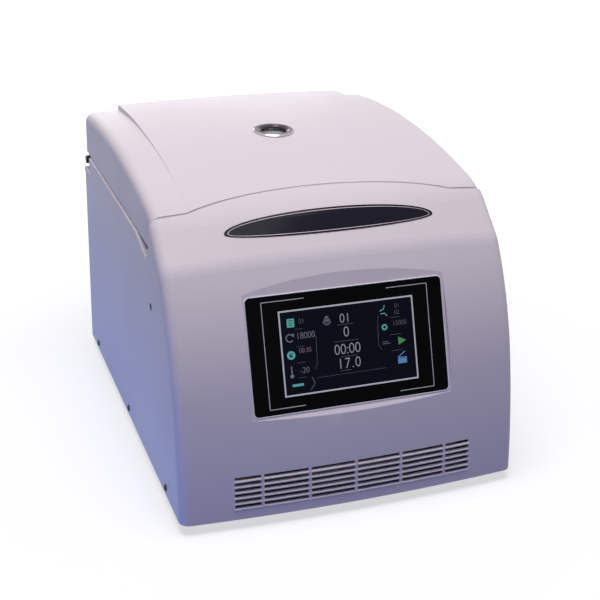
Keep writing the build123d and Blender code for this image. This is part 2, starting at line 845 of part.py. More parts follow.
with BuildPart() as evaporator_coil:
    with BuildLine():
        turns = Helix(coil_pitch, coil_pitch * coil_turns, coil_radius, (0, chamber_y, coil_start_z))
    with BuildSketch(Plane(origin=turns @ 0, z_dir=turns % 0)):
        RegularPolygon(coil_tube_radius, tube_sides)
    sweep(path=turns, is_frenet=True)

finish(evaporator_coil, "evaporator_coil")

# Foam shell round the bowl and coil
foam_inner = coil_radius + coil_tube_radius + fit_gap
foam_outer = insulation_radius - 4.0
foam_hole_radius = motor_bell_radius + 3.0
channel_width = 56.0

with BuildPart() as chamber_insulation:
    with BuildSketch(chamber_plane):
        with BuildLine():
            foam_top = deck_z - deck_thickness
            foam_floor = bowl_bottom_z - fit_gap
            Polyline(
                (foam_hole_radius, foam_floor - insulation_floor),
                (foam_outer, foam_floor - insulation_floor),
                (foam_outer, foam_top),
                (foam_inner, foam_top),
                (foam_inner, foam_floor),
                (foam_hole_radius, foam_floor),
                (foam_hole_radius, foam_floor - insulation_floor),
            )
        make_face()
    revolve(axis=chamber_axis)
    # Channel for the pipes of the evaporator
    channel_bottom_z = coil_start_z - 2 * coil_tube_radius
    channel_top_z = coil_start_z + coil_turns * coil_pitch + 2 * coil_tube_radius
    with BuildSketch(Plane.XY.offset(channel_bottom_z)):
        with Locations((insulation_radius, chamber_y)):
            Rectangle(2 * (insulation_radius - coil_radius), channel_width)
    extrude(amount=channel_top_z - channel_bottom_z, mode=Mode.SUBTRACT)

finish(chamber_insulation, "chamber_insulation")

# Drive motor: body, bell and neck, bored for the shaft
motor_z = floor_z + damper_height + mount_plate_thickness
neck_rise = 5.0
neck_top_z = bowl_bottom_z + neck_rise
bell_drop = 8.0
bell_top_z = bowl_bottom_z - bell_drop
motor_bevel = 6.0
bell_bevel = 4.0
shaft_radius = rotor_bore
shaft_engaged = 24.0
shaft_end_room = 2.0
collar_radius = 14.0
collar_thickness = 3.0
collar_bevel = 1.0
stud_radius = 5.0
stud_length = 16.0
rotor_seat_z = rotor_z + rotor_seat_height

with BuildPart() as drive_motor:
    with BuildSketch(chamber_plane):
        with BuildLine():
            body_top_z = motor_z + motor_body_height
            Polyline(
                (0, motor_z),
                (motor_radius, motor_z),
                (motor_radius, body_top_z - motor_bevel),
                (motor_radius - motor_bevel, body_top_z),
                (motor_bell_radius, body_top_z),
                (motor_bell_radius, bell_top_z - bell_bevel),
                (motor_bell_radius - bell_bevel, bell_top_z),
                (motor_neck_radius, bell_top_z),
                (motor_neck_radius, neck_top_z),
                (shaft_radius + running_fit, neck_top_z),
                (shaft_radius + running_fit, neck_top_z - shaft_engaged - shaft_end_room),
                (0, neck_top_z - shaft_engaged - shaft_end_room),
                (0, motor_z),
            )
        make_face()
    revolve(axis=chamber_axis)

finish(drive_motor, "drive_motor")

with BuildPart() as motor_mount_plate:
    with BuildSketch(Plane.XY.offset(floor_z + damper_height)):
        with Locations((0, chamber_y)):
            Circle(mount_plate_radius)
    extrude(amount=mount_plate_thickness)

finish(motor_mount_plate, "motor_mount_plate")

with BuildPart() as motor_dampers:
    with BuildSketch(Plane.XY.offset(floor_z)):
        with Locations((0, chamber_y)):
            with PolarLocations(damper_ring_radius, 3, start_angle=90):
                Circle(damper_radius)
    extrude(amount=damper_height)

finish(motor_dampers, "motor_dampers")

# Rubber seal between the motor's neck and the bowl
seal_skirt = 2.0
seal_flange = 6.0
seal_crown = 3.0
neck_bare = 1.0

with BuildPart() as motor_seal:
    with BuildSketch(chamber_plane):
        with BuildLine():
            inside_z = bowl_bottom_z + bowl_wall
            Polyline(
                (motor_neck_radius, bowl_bottom_z - seal_skirt),
                (bowl_hole_radius, bowl_bottom_z - seal_skirt),
                (bowl_hole_radius, inside_z),
                (bowl_hole_radius + seal_flange, inside_z),
                (bowl_hole_radius + seal_crown, inside_z + seal_skirt),
                (motor_neck_radius, neck_top_z - neck_bare),
                (motor_neck_radius, bowl_bottom_z - seal_skirt),
            )
        make_face()
    revolve(axis=chamber_axis)

finish(motor_seal, "motor_seal")

with BuildPart() as motor_shaft:
    with BuildSketch(chamber_plane):
        with BuildLine():
            Polyline(
                (0, neck_top_z - shaft_engaged),
                (shaft_radius, neck_top_z - shaft_engaged),
                (shaft_radius, rotor_z - collar_thickness - collar_bevel),
                (collar_radius, rotor_z - collar_thickness),
                (collar_radius, rotor_z),
                (shaft_radius, rotor_z),
                (shaft_radius, rotor_seat_z),
                (stud_radius, rotor_seat_z),
                (stud_radius, rotor_seat_z + stud_length),
                (0, rotor_seat_z + stud_length),
                (0, neck_top_z - shaft_engaged),
            )
        make_face()
    revolve(axis=chamber_axis)

finish(motor_shaft, "motor_shaft")

# Fixed-angle rotor: a turned body bored with slanting pockets
rotor_foot_radius = 34.0
rotor_foot_height = 6.0
rotor_edge_bevel = 8.0
rotor_rim_height = 34.0
lip_width = 14.0
crown_width = 7.0
crown_bevel = 1.0
well_bevel = 5.0
pocket_overshoot = 20.0

with BuildPart() as rotor:
    with BuildSketch(chamber_plane):
        with BuildLine():
            lip_inner = pocket_ring_radius - lip_width
            lip_outer = pocket_ring_radius + lip_width
            edge_z = rotor_z + rotor_foot_height
            crown_z = rotor_z + rotor_height
            Polyline(
                (rotor_bore + press_fit, rotor_z),
                (rotor_foot_radius, rotor_z),
                (rotor_foot_radius + rotor_foot_height, edge_z),
                (rotor_radius - rotor_edge_bevel, edge_z),
                (rotor_radius, edge_z + rotor_edge_bevel),
                (rotor_radius, rotor_z + rotor_rim_height),
                (lip_outer + crown_width, crown_z - crown_bevel),
                (lip_outer + crown_width - 2 * crown_bevel, crown_z),
                (lip_outer, rotor_z + rotor_mouth_height + lip_width),
                (lip_inner, rotor_z + rotor_mouth_height - lip_width),
                (lip_inner - well_bevel, rotor_seat_z),
                (rotor_bore + press_fit, rotor_seat_z),
                (rotor_bore + press_fit, rotor_z),
            )
        make_face()
    revolve(axis=chamber_axis)
    for number in range(pocket_count):
        turn = math.radians(360 / pocket_count * number)
        lean = math.radians(pocket_angle)
        outward = Vector(math.sin(turn), -math.cos(turn), 0)
        mouth = Vector(0, chamber_y, rotor_z + rotor_mouth_height) + outward * pocket_ring_radius
        down = outward * math.sin(lean) - Vector(0, 0, math.cos(lean))
        with BuildSketch(Plane(origin=mouth - down * pocket_overshoot, z_dir=down)):
            Circle(pocket_radius)
        extrude(amount=pocket_length + pocket_overshoot, mode=Mode.SUBTRACT)

finish(rotor, "rotor")

# Knob that clamps the rotor on the stud
knob_radius = 16.0
knob_height = 22.0
knob_flute_radius = 3.0
knob_flute_count = 12
stud_end_room = 2.0

with BuildPart() as rotor_knob:
    with BuildSketch(Plane.XY.offset(rotor_seat_z)):
        with Locations((0, chamber_y)):
            Circle(knob_radius)
            with PolarLocations(knob_radius + knob_flute_radius / 2, knob_flute_count):
                Circle(knob_flute_radius, mode=Mode.SUBTRACT)
    extrude(amount=knob_height)
    with Locations(Plane(origin=(0, chamber_y, rotor_seat_z), z_dir=(0, 0, -1))):
        Hole(stud_radius + running_fit, depth=stud_length + stud_end_room)

finish(rotor_knob, "rotor_knob")

# Compressor on rubber mounts
compressor_x = half - 76.0
compressor_y = front_y + 118.5
compressor_radius = 50.0
compressor_height = 126.0
dome_bevels = [(0.0, 18.0), (5.0, 6.0), (18.0, 0.0)]
compressor_foot = 3.0
compressor_mount_height = 12.0
compressor_mount_radius = 8.0
compressor_mount_spacing = 78.0
compressor_z = floor_z + compressor_mount_height
spigot_radius = 4.0
spigot_proud = 6.0
spigot_sunk = 14.0
suction_x = compressor_x + 24.0
suction_z = 120.0
suction_spigot_y = compressor_y + compressor_radius + spigot_proud
discharge_z = 60.0
discharge_spigot_x = compressor_x + compressor_radius + spigot_proud

with BuildPart() as compressor:
    # Can with domed ends, turned about its own axis
    can_bottom_z = compressor_z + compressor_foot
    can_top_z = can_bottom_z + compressor_height
    lower_dome = [(compressor_radius - inward, can_bottom_z + up) for up, inward in dome_bevels]
    upper_dome = [(radius, can_bottom_z + can_top_z - z) for radius, z in reversed(lower_dome)]
    with BuildSketch(Plane(origin=(compressor_x, compressor_y, 0), x_dir=(1, 0, 0), z_dir=(0, -1, 0))):
        with BuildLine():
            Polyline((0, can_bottom_z), *lower_dome, *upper_dome, (0, can_top_z), (0, can_bottom_z))
        make_face()
    revolve(axis=Axis((compressor_x, compressor_y, 0), (0, 0, 1)))
    with BuildSketch(Plane.XY.offset(compressor_z)):
        with Locations((compressor_x, compressor_y)):
            foot_width = compressor_mount_spacing + 2 * compressor_mount_radius
            RectangleRounded(foot_width, foot_width, compressor_mount_radius)
    extrude(amount=compressor_foot)
    # Spigots for the pipes, one to the back and one to the right
    with BuildSketch(Plane.XZ.offset(-suction_spigot_y)):
        with Locations((suction_x, suction_z)):
            Circle(spigot_radius)
    extrude(amount=spigot_proud + 2 * spigot_sunk)
    with BuildSketch(Plane.YZ.offset(discharge_spigot_x)):
        with Locations((compressor_y, discharge_z)):
            Circle(spigot_radius)
    extrude(amount=-(spigot_proud + spigot_sunk))

finish(compressor, "compressor")

with BuildPart() as compressor_mounts:
    with BuildSketch(Plane.XY.offset(floor_z)):
        with Locations((compressor_x, compressor_y)):
            with GridLocations(compressor_mount_spacing, compressor_mount_spacing, 2, 2):
                Circle(compressor_mount_radius)
    extrude(amount=compressor_mount_height)

finish(compressor_mounts, "compressor_mounts")

# Condenser behind the air slots, with the fan's shroud behind it
condenser_width = width - 126.0
condenser_bottom_z = floor_z + 7.0
condenser_height = 78.0
condenser_thickness = 22.0
condenser_front_y = front_y + 22.5
condenser_flange = 3.0
condenser_back_y = condenser_front_y + condenser_thickness
condenser_middle_y = condenser_front_y + condenser_thickness / 2
condenser_spigot = 6.0
condenser_spigot_x = condenser_width / 2 + condenser_flange + condenser_spigot
outlet_z = 35.0

with BuildPart() as condenser:
    with BuildSketch(Plane.XZ.offset(-condenser_front_y)):
        with Locations((0, condenser_bottom_z + condenser_height / 2)):
            Rectangle(condenser_width, condenser_height)
    extrude(amount=-condenser_thickness)
    # End plates that stand on the floor
    end_height = condenser_bottom_z + condenser_height - floor_z
    with BuildSketch(Plane.YZ.offset(condenser_width / 2)):
        with Locations((condenser_middle_y, floor_z + end_height / 2)):
            Rectangle(condenser_thickness, end_height)
    extrude(amount=condenser_flange)
    mirror(about=Plane.YZ)
    # Spigots for the pipes at the right end
    with BuildSketch(Plane.YZ.offset(condenser_width / 2 + condenser_flange)):
        with Locations((condenser_middle_y, discharge_z), (condenser_middle_y, outlet_z)):
            Circle(spigot_radius)
    extrude(amount=condenser_spigot)

finish(condenser, "condenser")

# Fan behind the condenser: a shroud plate, the fan's frame and its impeller
fan_x = -45.0
fan_size = 80.0
fan_z = condenser_bottom_z + condenser_height / 2
fan_depth = 25.0
fan_bore = 38.0
shroud_thickness = 2.0
shroud_back_y = condenser_back_y + shroud_thickness
fan_back_y = shroud_back_y + fan_depth
fan_pin_radius = 2.0
impeller_radius = 36.0
impeller_hub_radius = 15.0
impeller_depth = 16.0
impeller_gap = 3.0
impeller_front_y = shroud_back_y + impeller_gap
blade_count = 7
blade_angle = 35.0
blade_chord = 20.0
blade_thickness = 1.6
blade_root = 2.0
fan_corner = 5.0
fan_strut_width = 4.0
fan_plate_thickness = 2.5
fan_pin_end = 5.0

with BuildPart() as fan_shroud:
    with BuildSketch(Plane.XZ.offset(-condenser_back_y)):
        with Locations((0, fan_z)):
            Rectangle(condenser_width, condenser_height)
        with Locations((fan_x, fan_z)):
            Circle(fan_bore, mode=Mode.SUBTRACT)
    extrude(amount=-shroud_thickness)

finish(fan_shroud, "fan_shroud")

with BuildPart() as fan_frame:
    with BuildSketch(Plane.XZ.offset(-shroud_back_y)):
        with Locations((fan_x, fan_z)):
            RectangleRounded(fan_size, fan_size, fan_corner)
            Circle(fan_bore, mode=Mode.SUBTRACT)
    extrude(amount=-fan_depth)
    # Motor plate and its four struts at the back, with the fixed pin
    with BuildSketch(Plane.XZ.offset(-fan_back_y)):
        with Locations((fan_x, fan_z)):
            Circle(impeller_hub_radius)
            strut_length = 2 * fan_bore + fan_plate_thickness
            Rectangle(strut_length, fan_strut_width)
            Rectangle(fan_strut_width, strut_length)
    extrude(amount=fan_plate_thickness)
    with BuildSketch(Plane.XZ.offset(-fan_back_y)):
        with Locations((fan_x, fan_z)):
            Circle(fan_pin_radius)
    extrude(amount=fan_depth - fan_pin_end)

finish(fan_frame, "fan_frame")

with BuildPart() as fan_impeller:
    with BuildSketch(Plane.XZ.offset(-impeller_front_y)):
        with Locations((fan_x, fan_z)):
            Circle(impeller_hub_radius)
    extrude(amount=-impeller_depth)
    for number in range(blade_count):
        turn = math.radians(360 / blade_count * number)
        out = Vector(math.cos(turn), 0, math.sin(turn))
        round_about = Vector(-math.sin(turn), 0, math.cos(turn))
        lean = math.radians(blade_angle)
        chord = round_about * math.cos(lean) + Vector(0, 1, 0) * math.sin(lean)
        middle = Vector(fan_x, impeller_front_y + impeller_depth / 2, fan_z)
        root = middle + out * (impeller_hub_radius - blade_root)
        with BuildSketch(Plane(origin=root, x_dir=chord, z_dir=out)):
            Rectangle(blade_chord, blade_thickness)
        extrude(amount=impeller_radius - impeller_hub_radius + blade_root / 2)
    with BuildSketch(Plane.XZ.offset(-impeller_front_y)):
        with Locations((fan_x, fan_z)):
            Circle(fan_pin_radius + running_fit)
    extrude(amount=-impeller_depth, mode=Mode.SUBTRACT)

finish(fan_impeller, "fan_impeller")

# Filter drier on a stand, in the pipe from the condenser
drier_x = half - 18.0
drier_radius = 9.0
drier_bevel = 4.0
drier_front_y = compressor_y + 68.0
drier_back_y = chamber_y - 28.0
drier_stand_width = 8.0
drier_stand_length = 14.0

with BuildPart() as filter_drier:
    with BuildSketch(Plane.XZ.offset(-drier_front_y)):
        with Locations((drier_x, outlet_z)):
            Circle(drier_radius)
    extrude(amount=-(drier_back_y - drier_front_y))
    chamfer(edges().filter_by(GeomType.CIRCLE), drier_bevel)
    with BuildSketch(Plane.XY.offset(floor_z)):
        with Locations((drier_x, (drier_front_y + drier_back_y) / 2)):
            Rectangle(drier_stand_width, drier_stand_length)
    extrude(amount=outlet_z - floor_z - drier_radius / 4)

finish(filter_drier, "filter_drier")

# Copper pipes between compressor, condenser, drier and evaporator
pipe_radius = 3.0
pipe_bend = 7.0
pipe_lead = 18.0
pipe_joint = 0.5
side_run_x = half - 12.0
riser_x = insulation_radius + 8.0
coil_start = turns @ 0
coil_end = turns @ 1
pipe_paths = [
    [
        (discharge_spigot_x, compressor_y, discharge_z),
        (side_run_x, compressor_y, discharge_z),
        (side_run_x, condenser_middle_y, discharge_z),
        (condenser_spigot_x, condenser_middle_y, discharge_z),
    ],
    [
        (condenser_spigot_x, condenser_middle_y, outlet_z),
        (drier_x, condenser_middle_y, outlet_z),
        (drier_x, drier_front_y, outlet_z),
    ],
    [
        (drier_x, drier_back_y, outlet_z),
        (drier_x, chamber_y - pipe_lead, outlet_z),
        (drier_x, chamber_y - pipe_lead, coil_start.Z),
        (coil_start.X, chamber_y - pipe_lead, coil_start.Z),
        (coil_start.X, chamber_y - pipe_joint, coil_start.Z),
    ],
    [
        (coil_end.X, chamber_y + pipe_joint, coil_end.Z),
        (coil_end.X, chamber_y + pipe_lead, coil_end.Z),
        (riser_x, chamber_y + pipe_lead, coil_end.Z),
        (riser_x, chamber_y + pipe_lead, suction_z),
        (suction_x, suction_spigot_y, suction_z),
    ],
]

with BuildPart() as copper_lines:
    for points in pipe_paths:
        with BuildLine() as route:
            FilletPolyline(*points, radius=pipe_bend)
        with BuildSketch(Plane(origin=route.line @ 0, z_dir=route.line % 0)):
            RegularPolygon(pipe_radius, tube_sides)
        sweep(path=route.line)

finish(copper_lines, "copper_lines")

# Electronics: boards on an upright bracket, an inverter and a power supply
bracket_y = seam_middle_y + 13.0
bracket_thickness = 2.0
bracket_left_x = 18.0 - half
bracket_right_x = -20.0
bracket_height = 130.0
bracket_foot = 16.0
bracket_middle_x = (bracket_left_x + bracket_right_x) / 2
bracket_width = bracket_right_x - bracket_left_x
spacer_radius = 3.0
spacer_inset_x = 9.0
spacer_inset_z = 18.0
board_thickness = 1.6
board_gap = 4.0
board_y = bracket_y - board_gap
board_width = bracket_width - 8.0
board_height = bracket_height - 26.0
board_z = floor_z + bracket_height / 2 + 8.0
part_height = 6.0

with BuildPart() as electronics_bracket:
    with BuildSketch(Plane.XZ.offset(-bracket_y)):
        with Locations((bracket_middle_x, floor_z + bracket_height / 2)):
            Rectangle(bracket_width, bracket_height)
    extrude(amount=-bracket_thickness)
    with BuildSketch(Plane.XY.offset(floor_z)):
        with Locations((bracket_middle_x, bracket_y + bracket_foot / 2)):
            Rectangle(bracket_width, bracket_foot)
    extrude(amount=bracket_thickness)
    # Spacers for the board
    with BuildSketch(Plane.XZ.offset(-bracket_y)):
        with Locations((bracket_middle_x, board_z)):
            spacing_x = bracket_width - 2 * spacer_inset_x
            with GridLocations(spacing_x, bracket_height - 2 * spacer_inset_z, 2, 2):
                Circle(spacer_radius)
    extrude(amount=board_gap)

finish(electronics_bracket, "electronics_bracket")

with BuildPart() as main_board:
    with BuildSketch(Plane.XZ.offset(-board_y)):
        with Locations((bracket_middle_x, board_z)):
            Rectangle(board_width, board_height)
    extrude(amount=board_thickness)
    # Larger parts on the board, two square and two long
    with BuildSketch(Plane.XZ.offset(-board_y + board_thickness)):
        with Locations((bracket_middle_x, board_z)):
            with Locations((-board_width / 4, -board_height / 4), (board_width / 4, board_height / 5)):
                Rectangle(board_height / 4, board_height / 4)
            with Locations((board_width / 4, -board_height / 4), (-board_width / 4, board_height / 5)):
                Rectangle(board_height / 3, board_height / 6)
    extrude(amount=part_height)

finish(main_board, "main_board")

inverter_x = 53.0 - half
inverter_y = bracket_y + 64.0
inverter_width = 70.0
inverter_length = 80.0
inverter_base = 12.0
fin_pitch = 10.0
fin_count = 7
fin_thickness = 2.0
fin_height = 28.0

with BuildPart() as inverter_module:
    with BuildSketch(Plane.XY.offset(floor_z)):
        with Locations((inverter_x, inverter_y)):
            Rectangle(inverter_width, inverter_length)
    extrude(amount=inverter_base)
    # Cooling fins
    with BuildSketch(Plane.XY.offset(floor_z + inverter_base)):
        with Locations((inverter_x, inverter_y)):
            with GridLocations(fin_pitch, 0, fin_count, 1):
                Rectangle(fin_thickness, inverter_length)
    extrude(amount=fin_height)

finish(inverter_module, "inverter_module")

supply_size = 80.0
supply_height = 55.0
supply_corner = 2.0
supply_x = half - 53.0
supply_y = back_y - 81.5

with BuildPart() as power_supply:
    with BuildSketch(Plane.XY.offset(floor_z)):
        with Locations((supply_x, supply_y)):
            RectangleRounded(supply_size, supply_size, supply_corner)
    extrude(amount=supply_height)

finish(power_supply, "power_supply")

# Lid: a shell with a raised middle panel, open underneath
panel_steps = (panel_step_back, panel_step_peak, panel_step_front)
lid_back_y = back_y - lid_inset
lid_skin_x = half - lid_inset - wall
boss_radius = 5.0
boss_x = half - 38.0
boss_front_y = seam_middle_y + 27.0
boss_middle_y = chamber_y + 2.0
boss_back_y = back_y - 46.5
boss_places = [(x, y) for x in (-boss_x, boss_x) for y in (boss_front_y, boss_middle_y, boss_back_y)]
liner_thickness = 3.0
liner_top_z = liner_z + liner_thickness
sight_hole_radius = 19.3
ring_radius = 24.0
ring_sink = 1.0

roof_arc = Edge.make_three_point_arc(
    (back_y, top_back_height + panel_step_back),
    (top_peak_y, top_peak_height + panel_step_peak),
    (top_front_y, top_front_height + panel_step_front),
)
roof_centre = roof_arc.arc_center
roof_rise = math.sqrt(roof_arc.radius**2 - (chamber_y - roof_centre.X) ** 2)
sight_seat_z = base_z + roof_centre.Y + roof_rise - ring_sink

lid_form = body_form(0.0, lid_inset, lid_inset)
lid_inside = body_form(wall, lid_inset + wall, lid_inset + wall)

with BuildPart() as lid_panel:
    with BuildSketch(Plane.XY.offset(lid_bottom_z)):
        add(seam_face(lid_gap))
        with Locations((0, chamber_y)):
            Rectangle(2 * panel_half_width, 2 * depth, mode=Mode.INTERSECT)
    extrude(amount=2 * half)
    add(body_form(0.0, lid_inset, lid_inset, panel_steps), mode=Mode.INTERSECT)

with BuildPart() as lid_hollow:
    with BuildSketch(Plane.XY.offset(lid_bottom_z - wall)):
        add(seam_face(lid_gap + wall))
    extrude(amount=2 * half)
    add(lid_inside, mode=Mode.INTERSECT)

with BuildPart() as lid_bosses:
    with BuildSketch(Plane.XY.offset(liner_top_z)):
        with Locations(boss_places):
            Circle(boss_radius)
    extrude(amount=half)
    add(lid_form, mode=Mode.INTERSECT)

with BuildPart() as lid_shell:
    with BuildSketch(Plane.XY.offset(lid_bottom_z)):
        add(seam_face(lid_gap))
    extrude(amount=2 * half)
    add(lid_form, mode=Mode.INTERSECT)
    add(lid_panel.part)
    add(lid_hollow.part, mode=Mode.SUBTRACT)
    add(lid_bosses.part)
    # Screw holes in the bosses
    with BuildSketch(Plane.XY.offset(liner_top_z)):
        with Locations(boss_places):
            Circle(liner_screw_radius)
    extrude(amount=liner_screw_reach, mode=Mode.SUBTRACT)
    # Hole and flat seat for the sight glass
    with BuildSketch(Plane.XY.offset(liner_top_z)):
        with Locations((0, chamber_y)):
            Circle(sight_hole_radius)
    extrude(amount=half, mode=Mode.SUBTRACT)
    with BuildSketch(Plane.XY.offset(sight_seat_z)):
        with Locations((0, chamber_y)):
            Circle(ring_radius + fit_gap)
    extrude(amount=wall, mode=Mode.SUBTRACT)

finish(lid_shell, "lid_shell")

# Liner under the lid: a flat frame with a dome over the chamber laid on it
dome_rise = 8.0
dome_top_radius = 86.5
dome_foot_radius = 93.5
dome_flange_radius = 106.0
dome_slant = 1.5
dome_z = liner_z + dome_rise
tube_radius = 19.0
tube_hole_radius = tube_radius + fit_gap

with BuildPart() as lid_liner:
    with BuildSketch(Plane.XY.offset(liner_z)):
        add(seam_face(lid_gap + wall + fit_gap))
        liner_back_y = lid_back_y - wall - fit_gap
        with Locations((0, (liner_back_y - half) / 2)):
            Rectangle(2 * (lid_skin_x - fit_gap), liner_back_y + half, mode=Mode.INTERSECT)
        for side in (-1, 1):
            with Locations((side * half, back_y)):
                arm_cut_x = 2 * (half - arm_inner_x + fit_gap)
                Rectangle(arm_cut_x, 2 * (back_y - arm_cut_y), mode=Mode.SUBTRACT)
        with Locations((0, chamber_y)):
            Circle(dome_foot_radius + fit_gap, mode=Mode.SUBTRACT)
        with Locations(boss_places):
            Circle(liner_screw_radius + press_fit, mode=Mode.SUBTRACT)
    extrude(amount=liner_thickness)

finish(lid_liner, "lid_liner")

with BuildPart() as lid_dome:
    with BuildSketch(chamber_plane):
        with BuildLine():
            Polyline(
                (tube_hole_radius, dome_z),
                (dome_top_radius, dome_z),
                (dome_foot_radius, liner_top_z),
                (dome_flange_radius, liner_top_z),
                (dome_flange_radius, liner_top_z + liner_thickness),
                (dome_foot_radius + dome_slant, liner_top_z + liner_thickness),
                (dome_top_radius + dome_slant, dome_z + liner_thickness),
                (tube_hole_radius, dome_z + liner_thickness),
                (tube_hole_radius, dome_z),
            )
        make_face()
    revolve(axis=chamber_axis)

finish(lid_dome, "lid_dome")

# Foam in the lid, over the liner's dome
lid_foam_radius = dome_top_radius - fit_gap
lid_foam_height = 26.0

with BuildPart() as lid_insulation:
    with BuildSketch(Plane.XY.offset(dome_z + liner_thickness)):
        with Locations((0, chamber_y)):
            Circle(lid_foam_radius)
            Circle(tube_radius + fit_gap, mode=Mode.SUBTRACT)
    extrude(amount=lid_foam_height)

finish(lid_insulation, "lid_insulation")

# Sight glass: tube through the foam, window at its foot, ring and glass on top
tube_inner_radius = 16.5
window_thickness = 2.0
tube_rim = 1.5

with BuildPart() as sight_tube:
    with BuildSketch(Plane.XY.offset(dome_z)):
        with Locations((0, chamber_y)):
            Circle(tube_radius)
            Circle(tube_inner_radius, mode=Mode.SUBTRACT)
    extrude(amount=sight_seat_z - dome_z)
    # Rim that holds the window
    with BuildSketch(Plane.XY.offset(dome_z + window_thickness)):
        with Locations((0, chamber_y)):
            Circle(tube_inner_radius + press_fit)
            Circle(tube_inner_radius - tube_rim, mode=Mode.SUBTRACT)
    extrude(amount=tube_rim)
    # Flange that lies on the liner
    with BuildSketch(Plane.XY.offset(dome_z + liner_thickness)):
        with Locations((0, chamber_y)):
            Circle(tube_radius + fit_gap)
            Circle(tube_inner_radius, mode=Mode.SUBTRACT)
    extrude(amount=lid_foam_height)

finish(sight_tube, "sight_tube")

with BuildPart() as lower_window:
    with BuildSketch(Plane.XY.offset(dome_z)):
        with Locations((0, chamber_y)):
            Circle(tube_inner_radius - press_fit)
    extrude(amount=window_thickness)

finish(lower_window, "lower_window")

ring_inner_radius = 15.0
ring_neck_radius = tube_inner_radius - press_fit
ring_height = 2.6
ring_neck_depth = 6.0
ring_lip = 1.5
ring_edge = 0.2
ring_bevel = 2.0
ring_slope = 3.5
ring_well = 0.6
glass_thickness = 3.0

with BuildPart() as sight_ring:
    with BuildSketch(chamber_plane):
        with BuildLine():
            neck_z = sight_seat_z - ring_neck_depth
            Polyline(
                (ring_inner_radius - ring_lip, neck_z),
                (ring_neck_radius, neck_z),
                (ring_neck_radius, sight_seat_z),
                (ring_radius, sight_seat_z),
                (ring_radius, sight_seat_z + ring_sink + ring_edge),
                (ring_radius - ring_bevel, sight_seat_z + ring_height),
                (ring_inner_radius + ring_slope, sight_seat_z + ring_height),
                (ring_inner_radius, sight_seat_z + ring_well),
                (ring_inner_radius, neck_z + ring_lip),
                (ring_inner_radius - ring_lip, neck_z + ring_lip),
                (ring_inner_radius - ring_lip, neck_z),
            )
        make_face()
    revolve(axis=chamber_axis)

finish(sight_ring, "sight_ring")

with BuildPart() as sight_glass:
    with BuildSketch(Plane.XY.offset(sight_seat_z - ring_neck_depth + ring_lip)):
        with Locations((0, chamber_y)):
            Circle(ring_inner_radius - press_fit)
    extrude(amount=glass_thickness)

finish(sight_glass, "sight_glass")

# Screws that hold the liner
liner_head_radius = 3.5
liner_head_height = 1.2
liner_screw_end = 1.0

with BuildPart() as liner_screws:
    with BuildSketch(Plane.XY.offset(liner_z)):
        with Locations(boss_places):
            Circle(liner_head_radius)
    extrude(amount=-liner_head_height)
    with BuildSketch(Plane.XY.offset(liner_z)):
        with Locations(boss_places):
            Circle(liner_screw_radius - press_fit)
    extrude(amount=liner_thickness + liner_screw_reach - liner_screw_end)

finish(liner_screws, "liner_screws")

# Hinge arms inside the back corners of the lid
arm_front_y = back_y - 41.5
arm_neck_y = back_y - 15.5
arm_top_z = seam_z + 29.5
arm_front_height = 5.0
arm_foot_z = seam_z - 3.5
arm_back_z = lid_bottom_z - fit_gap

with BuildPart() as lid_hinge_arms:
    with BuildSketch(Plane.YZ.offset(arm_inner_x)):
        with Locations((hinge_y, hinge_z)):
            Circle(hinge_radius)
        with BuildLine():
            arm_back_y = lid_back_y - wall - fit_gap
            Polyline(
                (arm_neck_y, hinge_z),
                (arm_neck_y, arm_foot_z),
                (arm_front_y, arm_top_z - arm_front_height),
                (arm_front_y, arm_top_z),
                (arm_back_y, arm_top_z),
                (arm_back_y, arm_back_z),
                (hinge_y, hinge_z + hinge_radius),
                (hinge_y, hinge_z),
                (arm_neck_y, hinge_z),
            )
        make_face()
        with Locations((hinge_y, hinge_z)):
            Circle(hinge_pin_radius + running_fit, mode=Mode.SUBTRACT)
    extrude(amount=hinge_arm_width)
    mirror(about=Plane.YZ)

finish(lid_hinge_arms, "lid_hinge_arms")

pin_end_room = 0.5
pin_start_x = notch_inner_x - hinge_pin_grip + pin_end_room
pin_head_x = arm_outer_x + pin_end_room

with BuildPart() as hinge_pins:
    with BuildSketch(Plane.YZ.offset(pin_start_x)):
        with Locations((hinge_y, hinge_z)):
            Circle(hinge_pin_radius)
    extrude(amount=pin_head_x - pin_start_x)
    with BuildSketch(Plane.YZ.offset(pin_head_x)):
        with Locations((hinge_y, hinge_z)):
            Circle(hinge_head_radius)
    extrude(amount=hinge_head_length)
    mirror(about=Plane.YZ)

finish(hinge_pins, "hinge_pins")

# Striker under the lid: a plate with a window for the lock's bolt
striker_base_thickness = 2.0
striker_base_width = 32.0
striker_base_z = liner_z - striker_base_thickness
striker_bottom_z = seam_z - 25.5
bolt_radius = 3.3
bolt_z = seam_z - 17.0
bolt_play = 0.5
window_width = 2 * (bolt_radius + bolt_play)
window_height = 9.0

with BuildPart() as lid_striker:
    with BuildSketch(Plane.XY.offset(striker_base_z)):
        with Locations((0, striker_y)):
            Rectangle(striker_base_width, striker_width)
    extrude(amount=striker_base_thickness)
    with BuildSketch(Plane.YZ.offset(-striker_thickness / 2)):
        with Locations((striker_y, (striker_base_z + striker_bottom_z) / 2)):
            Rectangle(striker_width, striker_base_z - striker_bottom_z)
        with Locations((striker_y, bolt_z)):
            Rectangle(window_width, window_height, mode=Mode.SUBTRACT)
    extrude(amount=striker_thickness)

finish(lid_striker, "lid_striker")

# Lid lock under the deck: body and sliding bolt
lock_left_x = -16.0
lock_right_x = 48.0
lock_wall = 2.5
lock_width = striker_width + 2 * lock_wall
lock_floor = 3.0
bolt_bevel = 0.8
lock_height = 36.0
lock_top_z = deck_z - deck_thickness
bolt_length = 34.0
bolt_travel = 14.0
bolt_start_x = striker_slot_width / 2 + bolt_play
bolt_end_room = 1.0

